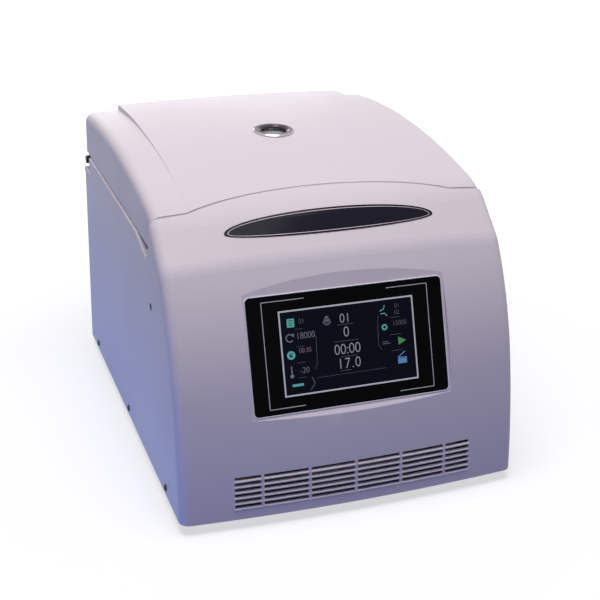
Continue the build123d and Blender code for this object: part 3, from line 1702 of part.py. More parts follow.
with BuildPart() as lock_body:
    with BuildSketch(Plane.XY.offset(lock_top_z - lock_height)):
        with Locations(((lock_left_x + lock_right_x) / 2, striker_y)):
            Rectangle(lock_right_x - lock_left_x, lock_width)
    extrude(amount=lock_height)
    with BuildSketch(Plane.XY.offset(striker_bottom_z - lock_floor)):
        with Locations((0, striker_y)):
            Rectangle(striker_slot_width, striker_slot_depth)
    extrude(amount=lock_height, mode=Mode.SUBTRACT)
    with BuildSketch(Plane.YZ.offset(bolt_start_x - bolt_travel - bolt_end_room)):
        with Locations((striker_y, bolt_z)):
            Circle(bolt_radius + running_fit)
    extrude(amount=bolt_length + bolt_travel + 2 * bolt_end_room, mode=Mode.SUBTRACT)

finish(lock_body, "lock_body")

with BuildPart() as lock_bolt:
    with BuildSketch(Plane.YZ.offset(bolt_start_x)):
        with Locations((striker_y, bolt_z)):
            Circle(bolt_radius)
    extrude(amount=bolt_length)
    chamfer(edges().filter_by(GeomType.CIRCLE), bolt_bevel)

finish(lock_bolt, "lock_bolt")

# Rubber buffers on the deck that carry the closed lid
bumper_x = half - 26.0
bumper_radius = 4.0
bumper_places = [(x, y) for x in (-bumper_x, bumper_x) for y in (boss_front_y, boss_back_y)]

with BuildPart() as lid_bumpers:
    with BuildSketch(Plane.XY.offset(deck_z)):
        with Locations(bumper_places):
            Circle(bumper_radius)
    extrude(amount=liner_z - deck_z)

finish(lid_bumpers, "lid_bumpers")

# Bush in the hole of the emergency release
bush_wall = 1.5

with BuildPart() as release_bush:
    with BuildSketch(Plane(origin=(-half, release_y, release_z), z_dir=(-1, 0, 0))):
        Circle(release_radius - press_fit)
        Circle(release_radius - bush_wall, mode=Mode.SUBTRACT)
    extrude(amount=-2 * wall)

finish(release_bush, "release_bush")

# Display: glass front, screen module and board
module_thickness = 6.0
glass_bevel = 0.4
board_margin = 5.0
chip_size = 24.0
chip_height = 3.0
chip_places = [(-40.0, 10.0), (35.0, -15.0)]

with BuildPart() as display_panel:
    with BuildSketch(display_plane.offset(-pocket_depth)):
        RectangleRounded(display_width, display_height, display_corner)
    extrude(amount=display_thickness)
    chamfer(display_panel.faces().sort_by(Axis.Y)[0].edges(), glass_bevel)

finish(display_panel, "display_panel")

with BuildPart() as lcd_module:
    with BuildSketch(display_plane.offset(-pocket_depth)):
        Rectangle(screen_width, screen_height)
    extrude(amount=-module_thickness)

finish(lcd_module, "lcd_module")

with BuildPart() as display_board:
    board_depth = pocket_depth + wall + board_post_length
    with BuildSketch(display_plane.offset(-board_depth)):
        Rectangle(2 * (board_post_x + board_margin), 2 * (board_post_y + board_margin))
    extrude(amount=-board_thickness)
    with BuildSketch(display_plane.offset(-board_depth - board_thickness)):
        with Locations(chip_places):
            Rectangle(chip_size, chip_size)
    extrude(amount=-chip_height)

finish(display_board, "display_board")

# Name plate, a bare lens on the brow
badge_form = body_form(-badge_thickness, rounded=False)

with BuildPart() as badge_plate:
    slope = math.radians(slope_angle)
    badge_y = bend_y + (badge_centre_height - bend_height) / math.tan(slope)
    with BuildSketch(
        Plane(
            origin=(0, badge_y, base_z + badge_centre_height),
            x_dir=(1, 0, 0),
            z_dir=(0, -math.sin(slope), math.cos(slope)),
        )
    ):
        with BuildLine():
            drop = slope_crown * (badge_width / width) ** 2
            upper_rise = badge_height / 2 + drop
            lower_rise = badge_height / 2 - drop
            EllipticalCenterArc((0, -drop), badge_width / 2, upper_rise, 0, arc_size=180)
            EllipticalCenterArc((0, -drop), badge_width / 2, lower_rise, 180, arc_size=180)
        make_face()
    extrude(amount=beyond, both=True)
    add(badge_form, mode=Mode.INTERSECT)
    add(outer_form, mode=Mode.SUBTRACT)

finish(badge_plate, "badge_plate")
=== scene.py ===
"""Looks of a refrigerated bench microcentrifuge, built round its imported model."""
import json
import math

import bmesh
import bpy
from mathutils import Matrix, Vector
from mathutils.bvhtree import BVHTree


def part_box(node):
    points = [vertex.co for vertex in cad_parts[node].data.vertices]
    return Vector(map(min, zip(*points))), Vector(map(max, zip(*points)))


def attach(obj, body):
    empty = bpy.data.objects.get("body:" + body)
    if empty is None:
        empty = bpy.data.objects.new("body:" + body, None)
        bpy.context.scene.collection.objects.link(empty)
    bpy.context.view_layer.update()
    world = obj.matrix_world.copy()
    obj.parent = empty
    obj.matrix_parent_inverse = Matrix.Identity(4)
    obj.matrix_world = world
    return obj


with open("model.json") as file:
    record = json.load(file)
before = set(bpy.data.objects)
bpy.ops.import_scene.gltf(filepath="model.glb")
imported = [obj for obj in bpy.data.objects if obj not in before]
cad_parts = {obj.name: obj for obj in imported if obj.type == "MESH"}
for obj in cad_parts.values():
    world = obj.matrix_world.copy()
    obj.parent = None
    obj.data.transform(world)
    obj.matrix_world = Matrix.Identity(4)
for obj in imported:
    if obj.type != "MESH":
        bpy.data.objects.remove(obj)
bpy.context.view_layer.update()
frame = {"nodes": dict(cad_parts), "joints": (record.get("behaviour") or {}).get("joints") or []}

MM = 0.001
nodes = frame["nodes"]
joints = {joint["name"]: joint for joint in frame["joints"]}


# Shader building blocks

# Colour sockets of Blender's Mix node, by their place
MIX_FIRST, MIX_SECOND, MIX_RESULT = 6, 7, 2


def feed(tree, socket, value):
    """Links a socket to another node's output, or gives it a plain value."""
    if isinstance(value, bpy.types.NodeSocket):
        tree.links.new(value, socket)
    else:
        socket.default_value = value


def set_values(node, values):
    for label, value in values.items():
        node.inputs[label].default_value = value


def math_node(tree, operation, first, second=None, clamp=False):
    node = tree.nodes.new("ShaderNodeMath")
    node.operation = operation
    node.use_clamp = clamp
    feed(tree, node.inputs[0], first)
    if second is not None:
        feed(tree, node.inputs[1], second)
    return node.outputs[0]


def mix_colour(tree, factor, first, second):
    node = tree.nodes.new("ShaderNodeMix")
    node.data_type = "RGBA"
    feed(tree, node.inputs["Factor"], factor)
    feed(tree, node.inputs[MIX_FIRST], first)
    feed(tree, node.inputs[MIX_SECOND], second)
    return node.outputs[MIX_RESULT]


def object_coordinates(tree):
    return tree.nodes.new("ShaderNodeTexCoord").outputs["Object"]


def noise(tree, vector, scale, detail=2.0, roughness=0.5):
    node = tree.nodes.new("ShaderNodeTexNoise")
    feed(tree, node.inputs["Vector"], vector)
    feed(tree, node.inputs["Scale"], scale)
    set_values(node, {"Detail": detail, "Roughness": roughness})
    return node.outputs["Fac"]


def smooth_step(tree, value, start, stop, low=0.0, high=1.0):
    """Goes softly from low to high while a value goes from start to stop."""
    node = tree.nodes.new("ShaderNodeMapRange")
    node.interpolation_type = "SMOOTHSTEP"
    set_values(node, {"From Min": start, "From Max": stop, "To Min": low, "To Max": high})
    feed(tree, node.inputs["Value"], value)
    return node.outputs["Result"]


def add_bump(tree, shader, height, strength, distance):
    bump = tree.nodes.new("ShaderNodeBump")
    set_values(bump, {"Strength": strength, "Distance": distance})
    tree.links.new(height, bump.inputs["Height"])
    tree.links.new(bump.outputs["Normal"], shader.inputs["Normal"])


def linear(red, green, blue):
    """Screen colour, 0 to 255, as the linear colour that a shader takes."""
    def channel(value):
        value = value / 255.0
        return value / 12.92 if value <= 0.04045 else ((value + 0.055) / 1.055) ** 2.4

    return (channel(red), channel(green), channel(blue), 1.0)


def darker(colour, share):
    """The same colour with only a share of its light."""
    return (colour[0] * share, colour[1] * share, colour[2] * share, 1)


# Shader groups that several finishes share

def new_group(name, inputs):
    """Group with named inputs that puts out a colour, a roughness and a bump height."""
    group = bpy.data.node_groups.new(name, "ShaderNodeTree")
    for label, kind, value in inputs:
        socket = group.interface.new_socket(name=label, in_out="INPUT", socket_type=kind)
        if value is not None:
            socket.default_value = value
    for label, kind in (
        ("Colour", "NodeSocketColor"), ("Roughness", "NodeSocketFloat"), ("Height", "NodeSocketFloat"),
    ):
        group.interface.new_socket(name=label, in_out="OUTPUT", socket_type=kind)
    return group, group.nodes.new("NodeGroupInput"), group.nodes.new("NodeGroupOutput")


def close_group(group, end, colour, roughness, height):
    group.links.new(colour, end.inputs["Colour"])
    group.links.new(roughness, end.inputs["Roughness"])
    group.links.new(height, end.inputs["Height"])


def make_moulded_grain():
    """Fine spark-eroded grain of a moulding, with faint flow marks and handling dust."""
    group, start, end = new_group(
        "moulded_grain",
        [
            ("Vector", "NodeSocketVector", None),
            ("Colour", "NodeSocketColor", (0.8, 0.8, 0.8, 1)),
            ("Shade", "NodeSocketColor", (0.7, 0.7, 0.7, 1)),
            ("Grain Scale", "NodeSocketFloat", 900.0),
            ("Roughness", "NodeSocketFloat", 0.4),
            ("Variation", "NodeSocketFloat", 0.3),
        ],
    )
    cloud_scale, cloud_detail, cloud_middle, dullness = 7.0, 3.0, 0.5, 0.16
    cloud = noise(group, start.outputs["Vector"], cloud_scale, cloud_detail)
    grain = noise(group, start.outputs["Vector"], start.outputs["Grain Scale"])
    drift = math_node(group, "MULTIPLY", cloud, start.outputs["Variation"], clamp=True)
    colour = mix_colour(group, drift, start.outputs["Colour"], start.outputs["Shade"])
    swing = math_node(group, "SUBTRACT", cloud, cloud_middle)
    spread = math_node(group, "MULTIPLY", swing, dullness)
    roughness = math_node(group, "ADD", start.outputs["Roughness"], spread, clamp=True)
    close_group(group, end, colour, roughness, grain)
    return group


def make_worked_metal():
    """Fine lines of turned, rolled or brushed metal, with faint stains."""
    group, start, end = new_group(
        "worked_metal",
        [
            ("Vector", "NodeSocketVector", None),
            ("Stretch", "NodeSocketVector", (1.0, 1.0, 1.0)),
            ("Colour", "NodeSocketColor", (0.6, 0.6, 0.6, 1)),
            ("Shade", "NodeSocketColor", (0.5, 0.5, 0.5, 1)),
            ("Roughness", "NodeSocketFloat", 0.3),
        ],
    )
    line_scale, line_detail, dullness = 100.0, 4.0, 0.18
    stain_scale, stain_detail = 22.0, 3.0
    stretched = group.nodes.new("ShaderNodeVectorMath")
    stretched.operation = "MULTIPLY"
    group.links.new(start.outputs["Vector"], stretched.inputs[0])
    group.links.new(start.outputs["Stretch"], stretched.inputs[1])
    lines = noise(group, stretched.outputs["Vector"], line_scale, line_detail)
    stain = noise(group, start.outputs["Vector"], stain_scale, stain_detail)
    colour = mix_colour(group, stain, start.outputs["Colour"], start.outputs["Shade"])
    spread = math_node(group, "MULTIPLY", lines, dullness)
    roughness = math_node(group, "ADD", start.outputs["Roughness"], spread, clamp=True)
    close_group(group, end, colour, roughness, lines)
    return group


moulded_grain = make_moulded_grain()
worked_metal = make_worked_metal()


# Kinds of finish

def start_material(name):
    material = bpy.data.materials.new(name)
    material.use_nodes = True
    return material, material.node_tree, material.node_tree.nodes["Principled BSDF"]


def grouped_material(name, group, values, bump, bump_distance):
    """Material whose colour, roughness and bump come from a shared group."""
    material, tree, shader = start_material(name)
    pattern = tree.nodes.new("ShaderNodeGroup")
    pattern.node_tree = group
    tree.links.new(object_coordinates(tree), pattern.inputs["Vector"])
    set_values(pattern, values)
    tree.links.new(pattern.outputs["Colour"], shader.inputs["Base Color"])
    tree.links.new(pattern.outputs["Roughness"], shader.inputs["Roughness"])
    add_bump(tree, shader, pattern.outputs["Height"], bump, bump_distance)
    return material, shader


def moulded(
    name, colour, shade, roughness=0.4, grain=900.0, bump=0.15, variation=0.3, coat=0.0, specular=0.5
):
    """Moulded plastic, paint, rubber or foam."""
    grain_depth = 0.0002
    values = {
        "Colour": colour,
        "Shade": shade,
        "Grain Scale": grain,
        "Roughness": roughness,
        "Variation": variation,
    }
    material, shader = grouped_material(name, moulded_grain, values, bump, grain_depth)
    set_values(shader, {"Coat Weight": coat, "Coat Roughness": 0.12, "Specular IOR Level": specular})
    return material


def metal(name, colour, shade, roughness, stretch=(1.0, 1.0, 1.0), metallic=1.0):
    """Bare or plated metal, its lines packed closer along an axis that is stretched more."""
    line_strength, line_depth = 0.1, 0.0001
    values = {"Stretch": stretch, "Colour": colour, "Shade": shade, "Roughness": roughness}
    material, shader = grouped_material(name, worked_metal, values, line_strength, line_depth)
    shader.inputs["Metallic"].default_value = metallic
    return material


def banded_chrome(name, centre_y, lip_radius, lip, cone):
    """Chromed ring: a bright lip round a cone painted darker, as a painted dark reflection."""
    blur = 0.0006
    smear_scale, smear_detail, dullness, cone_shade = 120.0, 3.0, 0.3, 0.5
    material, tree, shader = start_material(name)
    split = tree.nodes.new("ShaderNodeSeparateXYZ")
    tree.links.new(object_coordinates(tree), split.inputs["Vector"])
    x_part = math_node(tree, "POWER", split.outputs["X"], 2.0)
    y_part = math_node(tree, "POWER", math_node(tree, "SUBTRACT", split.outputs["Y"], centre_y), 2.0)
    radius = math_node(tree, "SQRT", math_node(tree, "ADD", x_part, y_part))
    edge = smooth_step(tree, radius, lip_radius - blur, lip_radius + blur)
    smear = noise(tree, object_coordinates(tree), smear_scale, smear_detail)
    # The cone's dark colour is a painted reflection, with random smears over it
    smeared_painted_reflection = mix_colour(tree, smear, cone, darker(cone, cone_shade))
    tree.links.new(mix_colour(tree, edge, smeared_painted_reflection, lip), shader.inputs["Base Color"])
    tree.links.new(math_node(tree, "MULTIPLY", smear, dullness), shader.inputs["Roughness"])
    shader.inputs["Metallic"].default_value = 1.0
    return material


def clear_glass(name, tint):
    """Clear sheet with faint smears."""
    smear_scale, smear_detail, dullness = 60.0, 3.0, 0.08
    material, tree, shader = start_material(name)
    smear = noise(tree, object_coordinates(tree), smear_scale, smear_detail)
    tree.links.new(math_node(tree, "MULTIPLY", smear, dullness), shader.inputs["Roughness"])
    set_values(shader, {"Base Color": tint, "Transmission Weight": 1.0, "IOR": 1.49})
    return material


def dark_gloss(name, colour, specular):
    """Dark glass or lacquer with smears that dull it a little."""
    smear_scale, smear_detail, smear_roughness = 35.0, 4.0, 0.6
    dullness, least_roughness, colour_shade = 0.16, 0.05, 0.5
    ripple_scale, ripple_strength, ripple_depth = 1500.0, 0.02, 0.0001
    material, tree, shader = start_material(name)
    smear = noise(tree, object_coordinates(tree), smear_scale, smear_detail, smear_roughness)
    spread = math_node(tree, "MULTIPLY", smear, dullness)
    tree.links.new(math_node(tree, "ADD", spread, least_roughness), shader.inputs["Roughness"])
    tree.links.new(mix_colour(tree, smear, colour, darker(colour, colour_shade)), shader.inputs["Base Color"])
    ripple = noise(tree, object_coordinates(tree), ripple_scale)
    add_bump(tree, shader, ripple, ripple_strength, ripple_depth)
    shader.inputs["Specular IOR Level"].default_value = specular
    return material


def glowing(name, colour, strength):
    """Pixels of the screen, which glow a little."""
    shimmer_scale, shimmer_detail, dimmed = 900.0, 1.0, 0.75
    material, tree, shader = start_material(name)
    shimmer = noise(tree, object_coordinates(tree), shimmer_scale, shimmer_detail)
    shade = mix_colour(tree, shimmer, colour, darker(colour, dimmed))
    tree.links.new(shade, shader.inputs["Base Color"])
    tree.links.new(shade, shader.inputs["Emission Color"])
    set_values(shader, {"Emission Strength": strength, "Roughness": 0.35})
    return material


# Finishes of plastic, paint, rubber and foam
shell_paint = moulded(
    "shell_paint", linear(229, 220, 227), linear(219, 210, 218), roughness=0.42, grain=1500.0,
    bump=0.05, variation=0.5, specular=0.12,
)
# Bead finish lighter than the paint: a painted highlight round the glass front
painted_highlight_pale = moulded("painted_highlight_pale", linear(244, 240, 246), linear(232, 228, 235), roughness=0.45)
liner_plastic = moulded("liner_plastic", linear(205, 204, 208), linear(192, 191, 196), roughness=0.48)
deck_plastic = moulded("deck_plastic", linear(196, 196, 201), linear(182, 182, 188), roughness=0.5)
black_plastic = moulded("black_plastic", linear(24, 24, 26), linear(34, 34, 37), roughness=0.45)
knob_plastic = moulded("knob_plastic", linear(28, 30, 36), linear(38, 40, 47), roughness=0.4)
rubber = moulded(
    "rubber", linear(22, 22, 23), linear(36, 35, 35), roughness=0.75, grain=600.0, bump=0.3
)
foam = moulded(
    "foam", linear(222, 208, 160), linear(205, 188, 138), roughness=0.9, grain=450.0, bump=0.8
)
board_green = moulded(
    "board_green", linear(18, 82, 48), linear(12, 62, 38), roughness=0.35, grain=300.0
)
enamel_black = moulded(
    "enamel_black", linear(20, 20, 22), linear(30, 30, 33), roughness=0.25, coat=0.5
)
motor_paint = moulded("motor_paint", linear(92, 95, 101), linear(80, 82, 88), roughness=0.45)
ink_white = moulded(
    "ink_white", linear(205, 205, 210), linear(190, 190, 196), roughness=0.5, grain=2500.0
)

# Finishes of metal
stainless = metal(
    "stainless", linear(196, 197, 200), linear(178, 180, 184), 0.22, (1.0, 1.0, 30.0), metallic=0.85
)
sheet_steel = metal(
    "sheet_steel", linear(170, 171, 175), linear(162, 163, 168), 0.42, (1.0, 1.0, 12.0), metallic=0.7
)
rotor_alloy = metal(
    "rotor_alloy", linear(150, 152, 158), linear(138, 140, 147), 0.32, (1.0, 1.0, 40.0), metallic=0.7
)
fin_alloy = metal("fin_alloy", linear(176, 178, 182), linear(160, 162, 166), 0.35, (30.0, 1.0, 1.0))
case_alloy = metal("case_alloy", linear(172, 173, 176), linear(158, 160, 164), 0.42)
bare_copper = metal("bare_copper", linear(196, 120, 84), linear(160, 88, 60), 0.28)
dark_screw = metal("dark_screw", linear(58, 56, 60), linear(40, 39, 43), 0.35)
bright_steel = metal("bright_steel", linear(190, 191, 194), linear(176, 177, 181), 0.25)
line_silver = metal(
    "line_silver", linear(188, 176, 184), linear(170, 158, 168), 0.45, metallic=0.3
)
bezel_silver = metal(
    "bezel_silver", linear(180, 182, 190), linear(166, 168, 176), 0.35, metallic=0.6
)

# The sight ring stands over the rotor's axis
RING_Y = joints["rotor_spin"]["pos_m"][1]
RING_LIP_RADIUS = 22.2 * MM
# The ring's dark cone colour is a painted reflection
chrome_painted_reflection = banded_chrome(
    "chrome_painted_reflection", RING_Y, RING_LIP_RADIUS, linear(186, 178, 183), linear(92, 80, 88)
)

# Finishes of glass and of the screen's marks
panel_gloss = dark_gloss("panel_gloss", linear(2, 2, 5), 0.03)
badge_gloss = dark_gloss("badge_gloss", linear(34, 31, 48), 0.06)
screen_gloss = dark_gloss("screen_gloss", linear(5, 11, 32), 0.045)
sight_glass_clear = clear_glass("sight_glass_clear", (0.92, 0.96, 0.98, 1))
glow_white = glowing("glow_white", linear(168, 172, 178), 0.2)
glow_dim = glowing("glow_dim", linear(122, 132, 142), 0.15)
glow_grey = glowing("glow_grey", linear(86, 92, 106), 0.1)
glow_teal = glowing("glow_teal", linear(86, 178, 170), 0.25)
glow_green = glowing("glow_green", linear(52, 140, 50), 0.3)
glow_blue = glowing("glow_blue", linear(82, 140, 186), 0.3)
glow_rose = glowing("glow_rose", linear(140, 112, 140), 0.15)

node_finishes = {
    shell_paint: ["lower_housing", "lid_shell"],
    liner_plastic: ["lid_liner", "lid_dome", "sight_tube"],
    deck_plastic: ["top_deck"],
    black_plastic: [
        "power_inlet", "switch_frame", "power_rocker", "fan_frame", "fan_impeller", "lock_body",
    ],
    rubber: [
        "rubber_feet", "bowl_seal", "motor_dampers", "motor_seal", "compressor_mounts", "lid_bumpers",
    ],
    foam: ["chamber_insulation", "lid_insulation"],
    knob_plastic: ["rotor_knob"],
    board_green: ["main_board", "lcd_module", "display_board"],
    enamel_black: ["compressor", "condenser"],
    motor_paint: ["drive_motor"],
    stainless: ["chamber_bowl"],
    sheet_steel: ["base_plate", "rear_panel", "electronics_bracket", "fan_shroud", "motor_mount_plate"],
    rotor_alloy: ["rotor"],
    fin_alloy: ["inverter_module"],
    case_alloy: ["power_supply"],
    bare_copper: ["evaporator_coil", "copper_lines", "filter_drier"],
    chrome_painted_reflection: ["sight_ring"],
    dark_screw: [
        "housing_screws", "rear_panel_screws", "liner_screws", "release_bush", "lid_hinge_arms", "hinge_pins",
    ],
    bright_steel: ["motor_shaft", "lid_striker", "lock_bolt"],
    panel_gloss: ["display_panel"],
    badge_gloss: ["badge_plate"],
    sight_glass_clear: ["sight_glass", "lower_window"],
}
for finish, names in node_finishes.items():
    for name in names:
        nodes[name].data.materials.clear()
        nodes[name].data.materials.append(finish)


# Ways to keep what is made, and to find a node's surface

def evaluated_mesh(holder):
    """Plain mesh of an object, as its text or its modifiers make it."""
    bpy.context.view_layer.update()
    depsgraph = bpy.context.evaluated_depsgraph_get()
    return bpy.data.meshes.new_from_object(holder.evaluated_get(depsgraph))


def keep_piece(name, mesh, body):
    """Keeps a mesh as a piece that rides on a body."""
    piece = bpy.data.objects.new(name, mesh)
    bpy.context.collection.objects.link(piece)
    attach(piece, body)


def keep_shape(name, shape, finish, body):
    """Keeps a bmesh as a piece with one finish."""
    mesh = bpy.data.meshes.new(name)
    shape.to_mesh(mesh)
    shape.free()
    mesh.materials.append(finish)
    keep_piece(name, mesh, body)


def surface_of(name):
    mesh = nodes[name].data
    return BVHTree.FromPolygons([v.co for v in mesh.vertices], [p.vertices for p in mesh.polygons])


# Reliefs: prints and platings on a plane

class Plane:
    """A plane with its own millimetres: u across it, v up it, and a lift off it."""

    def __init__(self, origin, across, upward):
        self.origin = Vector(origin)
        self.across = Vector(across).normalized()
        self.upward = Vector(upward).normalized()
        self.out = self.across.cross(self.upward)

    def point(self, u, v, lift):
        """Place in metres of a point of the plane."""
        return (self.origin + self.across * u + self.upward * v + self.out * lift) * MM


class Relief:
    """Thin prisms between two levels over a plane, and figures on the upper level."""

    ARC_STEPS = 28
    # How far a stroke runs past its end points, in its own width
    STROKE_END = 0.3
    # The built-in face: text size for figures one high, upward stretch, and thinning of its strokes
    FACE_SIZE, FACE_STRETCH, FACE_THINNING = 1.35, 1.12, 0.02
    # Steps in each curve of the face, and the distance under which its points are merged
    FACE_CURVES, WELD = 3, 0.001

    def __init__(self, plane, low, high):
        self.plane = plane
        self.low = low
        self.high = high
        self.shape = bmesh.new()

    def outline(self, points):
        """Prism of an outline whose points run anticlockwise."""
        top = [self.shape.verts.new(self.plane.point(u, v, self.high)) for u, v in points]
        foot = [self.shape.verts.new(self.plane.point(u, v, self.low)) for u, v in points]
        self.shape.faces.new(top)
        self.shape.faces.new(foot[::-1])
        for index in range(len(points)):
            before = index - 1
            self.shape.faces.new((top[before], foot[before], foot[index], top[index]))

    def bar(self, left, bottom, right, top):
        self.outline([(left, bottom), (right, bottom), (right, top), (left, top)])

    def frame(self, half_u, half_v, band):
        """Band inside a rectangle's edge, as four bars."""
        inner_u, inner_v = half_u - band, half_v - band
        self.bar(-half_u, inner_v, half_u, half_v)
        self.bar(-half_u, -half_v, half_u, -inner_v)
        self.bar(-half_u, -inner_v, -inner_u, inner_v)
        self.bar(inner_u, -inner_v, half_u, inner_v)

    def arc(self, u, v, inner, outer, start, stop):
        """Part of a ring or, with no inner radius, of a disc."""
        turns = [math.radians(start + (stop - start) * k / self.ARC_STEPS) for k in range(self.ARC_STEPS + 1)]
        rim = [(u + outer * math.cos(t), v + outer * math.sin(t)) for t in turns]
        hole = [(u + inner * math.cos(t), v + inner * math.sin(t)) for t in reversed(turns)]
        self.outline(rim + (hole if inner else [(u, v)]))

    def ring(self, u, v, inner, outer):
        """Whole ring or disc, in two halves."""
        self.arc(u, v, inner, outer, 0, 180)
        self.arc(u, v, inner, outer, 180, 360)

    def stroke(self, points, wide):
        """Line of a given width through some points."""
        for (u0, v0), (u1, v1) in zip(points, points[1:]):
            along = Vector((u1 - u0, v1 - v0)).normalized()
            side = Vector((-along.y, along.x)) * wide / 2
            end = along * wide * self.STROKE_END
            self.outline(
                [
                    (u0 - end.x - side.x, v0 - end.y - side.y),
                    (u1 + end.x - side.x, v1 + end.y - side.y),
                    (u1 + end.x + side.x, v1 + end.y + side.y),
                    (u0 - end.x + side.x, v0 - end.y + side.y),
                ]
            )

    def figures(self, text, u, v, height, spacing=1.0):
        """Plain figures centred at a point, as one sheet on the upper level."""
        curve = bpy.data.curves.new("figures", "FONT")
        curve.body = text
        curve.size = height * self.FACE_SIZE
        curve.offset = -height * self.FACE_THINNING
        curve.space_character = spacing
        curve.align_x = "CENTER"
        curve.align_y = "CENTER"
        curve.resolution_u = self.FACE_CURVES
        curve.fill_mode = "BOTH"
        holder = bpy.data.objects.new("figures", curve)
        bpy.context.collection.objects.link(holder)
        sheet = evaluated_mesh(holder)
        bpy.data.objects.remove(holder)
        letters = bmesh.new()
        letters.from_mesh(sheet)
        bpy.data.meshes.remove(sheet)
        bmesh.ops.remove_doubles(letters, verts=letters.verts, dist=self.WELD)
        letters.normal_update()
        corners = {}
        for vert in letters.verts:
            place = self.plane.point(u + vert.co.x, v + vert.co.y * self.FACE_STRETCH, self.high)
            corners[vert] = self.shape.verts.new(place)
        for face in letters.faces:
            loop = [corners[vert] for vert in face.verts]
            self.shape.faces.new(loop if face.normal.z > 0 else loop[::-1])
        letters.free()

    def keep(self, name, finish, body="housing"):
        keep_shape(name, self.shape, finish, body)


# Display: printed frame line, bright bezel, screen and its plain marks

DISPLAY_TILT = math.radians(19.6)
display_plane = Plane(
    (0.0, -200.85, 176.3), (1, 0, 0), (0.0, math.sin(DISPLAY_TILT), math.cos(DISPLAY_TILT))
)

# Levels over that plane
GLASS_TOP = 0.6
SCREEN_TOP = 0.64
BEZEL_TOP = 0.67
MARK_TOP = 0.69
NOTCH_TOP = 0.71

SCREEN_HALF_U = 74.0
SCREEN_HALF_V = 44.0
BEZEL_BAND = 1.6

# Spacing of figures, where it isn't the face's own
TIGHT, LOOSE = 0.95, 1.1


def make_frame_line():
    """Line printed on the glass, open in the middle of its top and of its foot."""
    line = Relief(display_plane, GLASS_TOP, SCREEN_TOP)
    half_u, half_v, half_line = 91.0, 54.6, 0.375
    for u in (-half_u, half_u):
        line.bar(u - half_line, -half_v, u + half_line, half_v)
    for left, right, v in (
        (-half_u, -45.4, half_v),
        (45.4, half_u, half_v),
        (-half_u, -53.0, -half_v),
        (52.5, half_u, -half_v),
    ):
        line.bar(left, v - half_line, right, v + half_line)
    line.keep("panel_frame_line", ink_white)


def make_screen():
    """Bright bezel and the dark face inside it."""
    bezel = Relief(display_plane, GLASS_TOP, BEZEL_TOP)
    bezel.frame(SCREEN_HALF_U, SCREEN_HALF_V, BEZEL_BAND)
    bezel.keep("screen_bezel", bezel_silver)
    face = Relief(display_plane, GLASS_TOP, SCREEN_TOP)
    inner_u, inner_v = SCREEN_HALF_U - BEZEL_BAND, SCREEN_HALF_V - BEZEL_BAND
    face.bar(-inner_u, -inner_v, inner_u, inner_v)
    face.keep("screen_face", screen_gloss)


def screen_relief():
    return Relief(display_plane, SCREEN_TOP, MARK_TOP)


def make_white_marks():
    """The four large readings down the middle of the screen."""
    white = screen_relief()
    white.figures("01", -2.7, 28.6, 9.2)
    white.figures("0", -2.4, 14.3, 10.4)
    white.figures("00:00", -2.6, -3.3, 10.4, TIGHT)
    white.figures("17.0", -1.9, -18.2, 10.4, LOOSE)
    white.keep("screen_white_marks", glow_white)


def make_dim_marks():
    """Set speed and temperature at the left, with their turning arrow and thermometer."""
    dim = screen_relief()
    dim.figures("18000", -46.7, 16.4, 6.4, TIGHT)
    dim.figures("-20", -50.6, -19.0, 5.8)
    dim.arc(-63.8, 15.6, 3.3, 4.3, 40, 320)
    dim.outline([(-61.9, 18.6), (-59.6, 15.9), (-58.9, 19.9)])
    dim.stroke([(-64.6, -13.4), (-64.6, -22.0)], 1.0)
    dim.ring(-64.6, -23.4, 0, 2.0)
    dim.keep("screen_dim_marks", glow_dim)


def make_grey_marks():
    """Small figures, a domed sign, rules, brackets and the foot's chevron and lines."""
    grey = screen_relief()
    grey.figures("01", -49.8, 31.2, 5.0)
    grey.figures("01", 55.8, 34.8, 4.4)
    grey.figures("02", 55.1, 28.1, 4.4)
    grey.figures("15000", 57.3, 16.8, 5.0, TIGHT)
    grey.arc(-22.6, 31.0, 0, 4.2, 200, 340)
    grey.arc(-22.6, 28.6, 3.2, 4.6, 190, 350)
    grey.ring(-22.6, 31.4, 0, 2.2)

    # Rules under the large readings, then under the left and the right column
    rule = 0.2
    for u, v, wide in ((-3.3, 22.7, 17.0), (-3.0, 5.5, 26.0), (-1.5, -10.5, 18.0), (-6.2, -24.9, 12.0)):
        grey.bar(u - wide / 2, v - rule, u + wide / 2, v + rule)
    thin_rule = 0.15
    for left, right, heights in ((-58.0, -49.0, (23.8, 6.0, -10.5, -26.0)), (46.0, 58.0, (23.2, 5.2, -11.5))):
        for v in heights:
            grey.bar(left, v - thin_rule, right, v + thin_rule)

    # Brackets between the columns, chevron, foot line and the two short bars of the menu sign
    bracket = 0.35
    grey.stroke([(-39.5, 19.0), (-35.6, 13.5), (-36.6, -14.0), (-39.4, -18.5)], bracket)
    grey.stroke([(34.5, 27.0), (33.0, 22.5), (32.0, -4.0), (35.5, -9.0)], bracket)
    grey.stroke([(-43.7, -27.1), (-40.6, -33.4), (-45.8, -39.5)], 0.7)
    grey.bar(-38.2, -28.4, 38.8, -28.15)
    grey.bar(36.4, -3.6, 45.2, -2.8)
    grey.bar(36.4, -1.6, 43.2, -0.8)
    grey.keep("screen_grey_marks", glow_grey)


def make_teal_marks():
    """List sheet, clock, wheel, two hooks and a bar."""
    teal = screen_relief()
    teal.bar(-65.6, 26.4, -57.6, 35.2)
    teal.ring(-63.8, -2.0, 2.0, 4.4)
    teal.stroke([(-63.8, 1.0), (-63.8, -2.0), (-61.6, -2.0)], 0.9)
    teal.ring(40.2, 14.1, 1.6, 3.2)
    teal.stroke([(41.8, 36.8), (40.6, 33.0), (36.6, 31.4)], 0.9)
    teal.stroke([(37.2, 28.2), (41.4, 28.6), (44.0, 25.6)], 0.9)
    teal.stroke([(-64.4, -33.1), (-53.8, -33.1)], 2.6)
    teal.keep("screen_teal_marks", glow_teal)


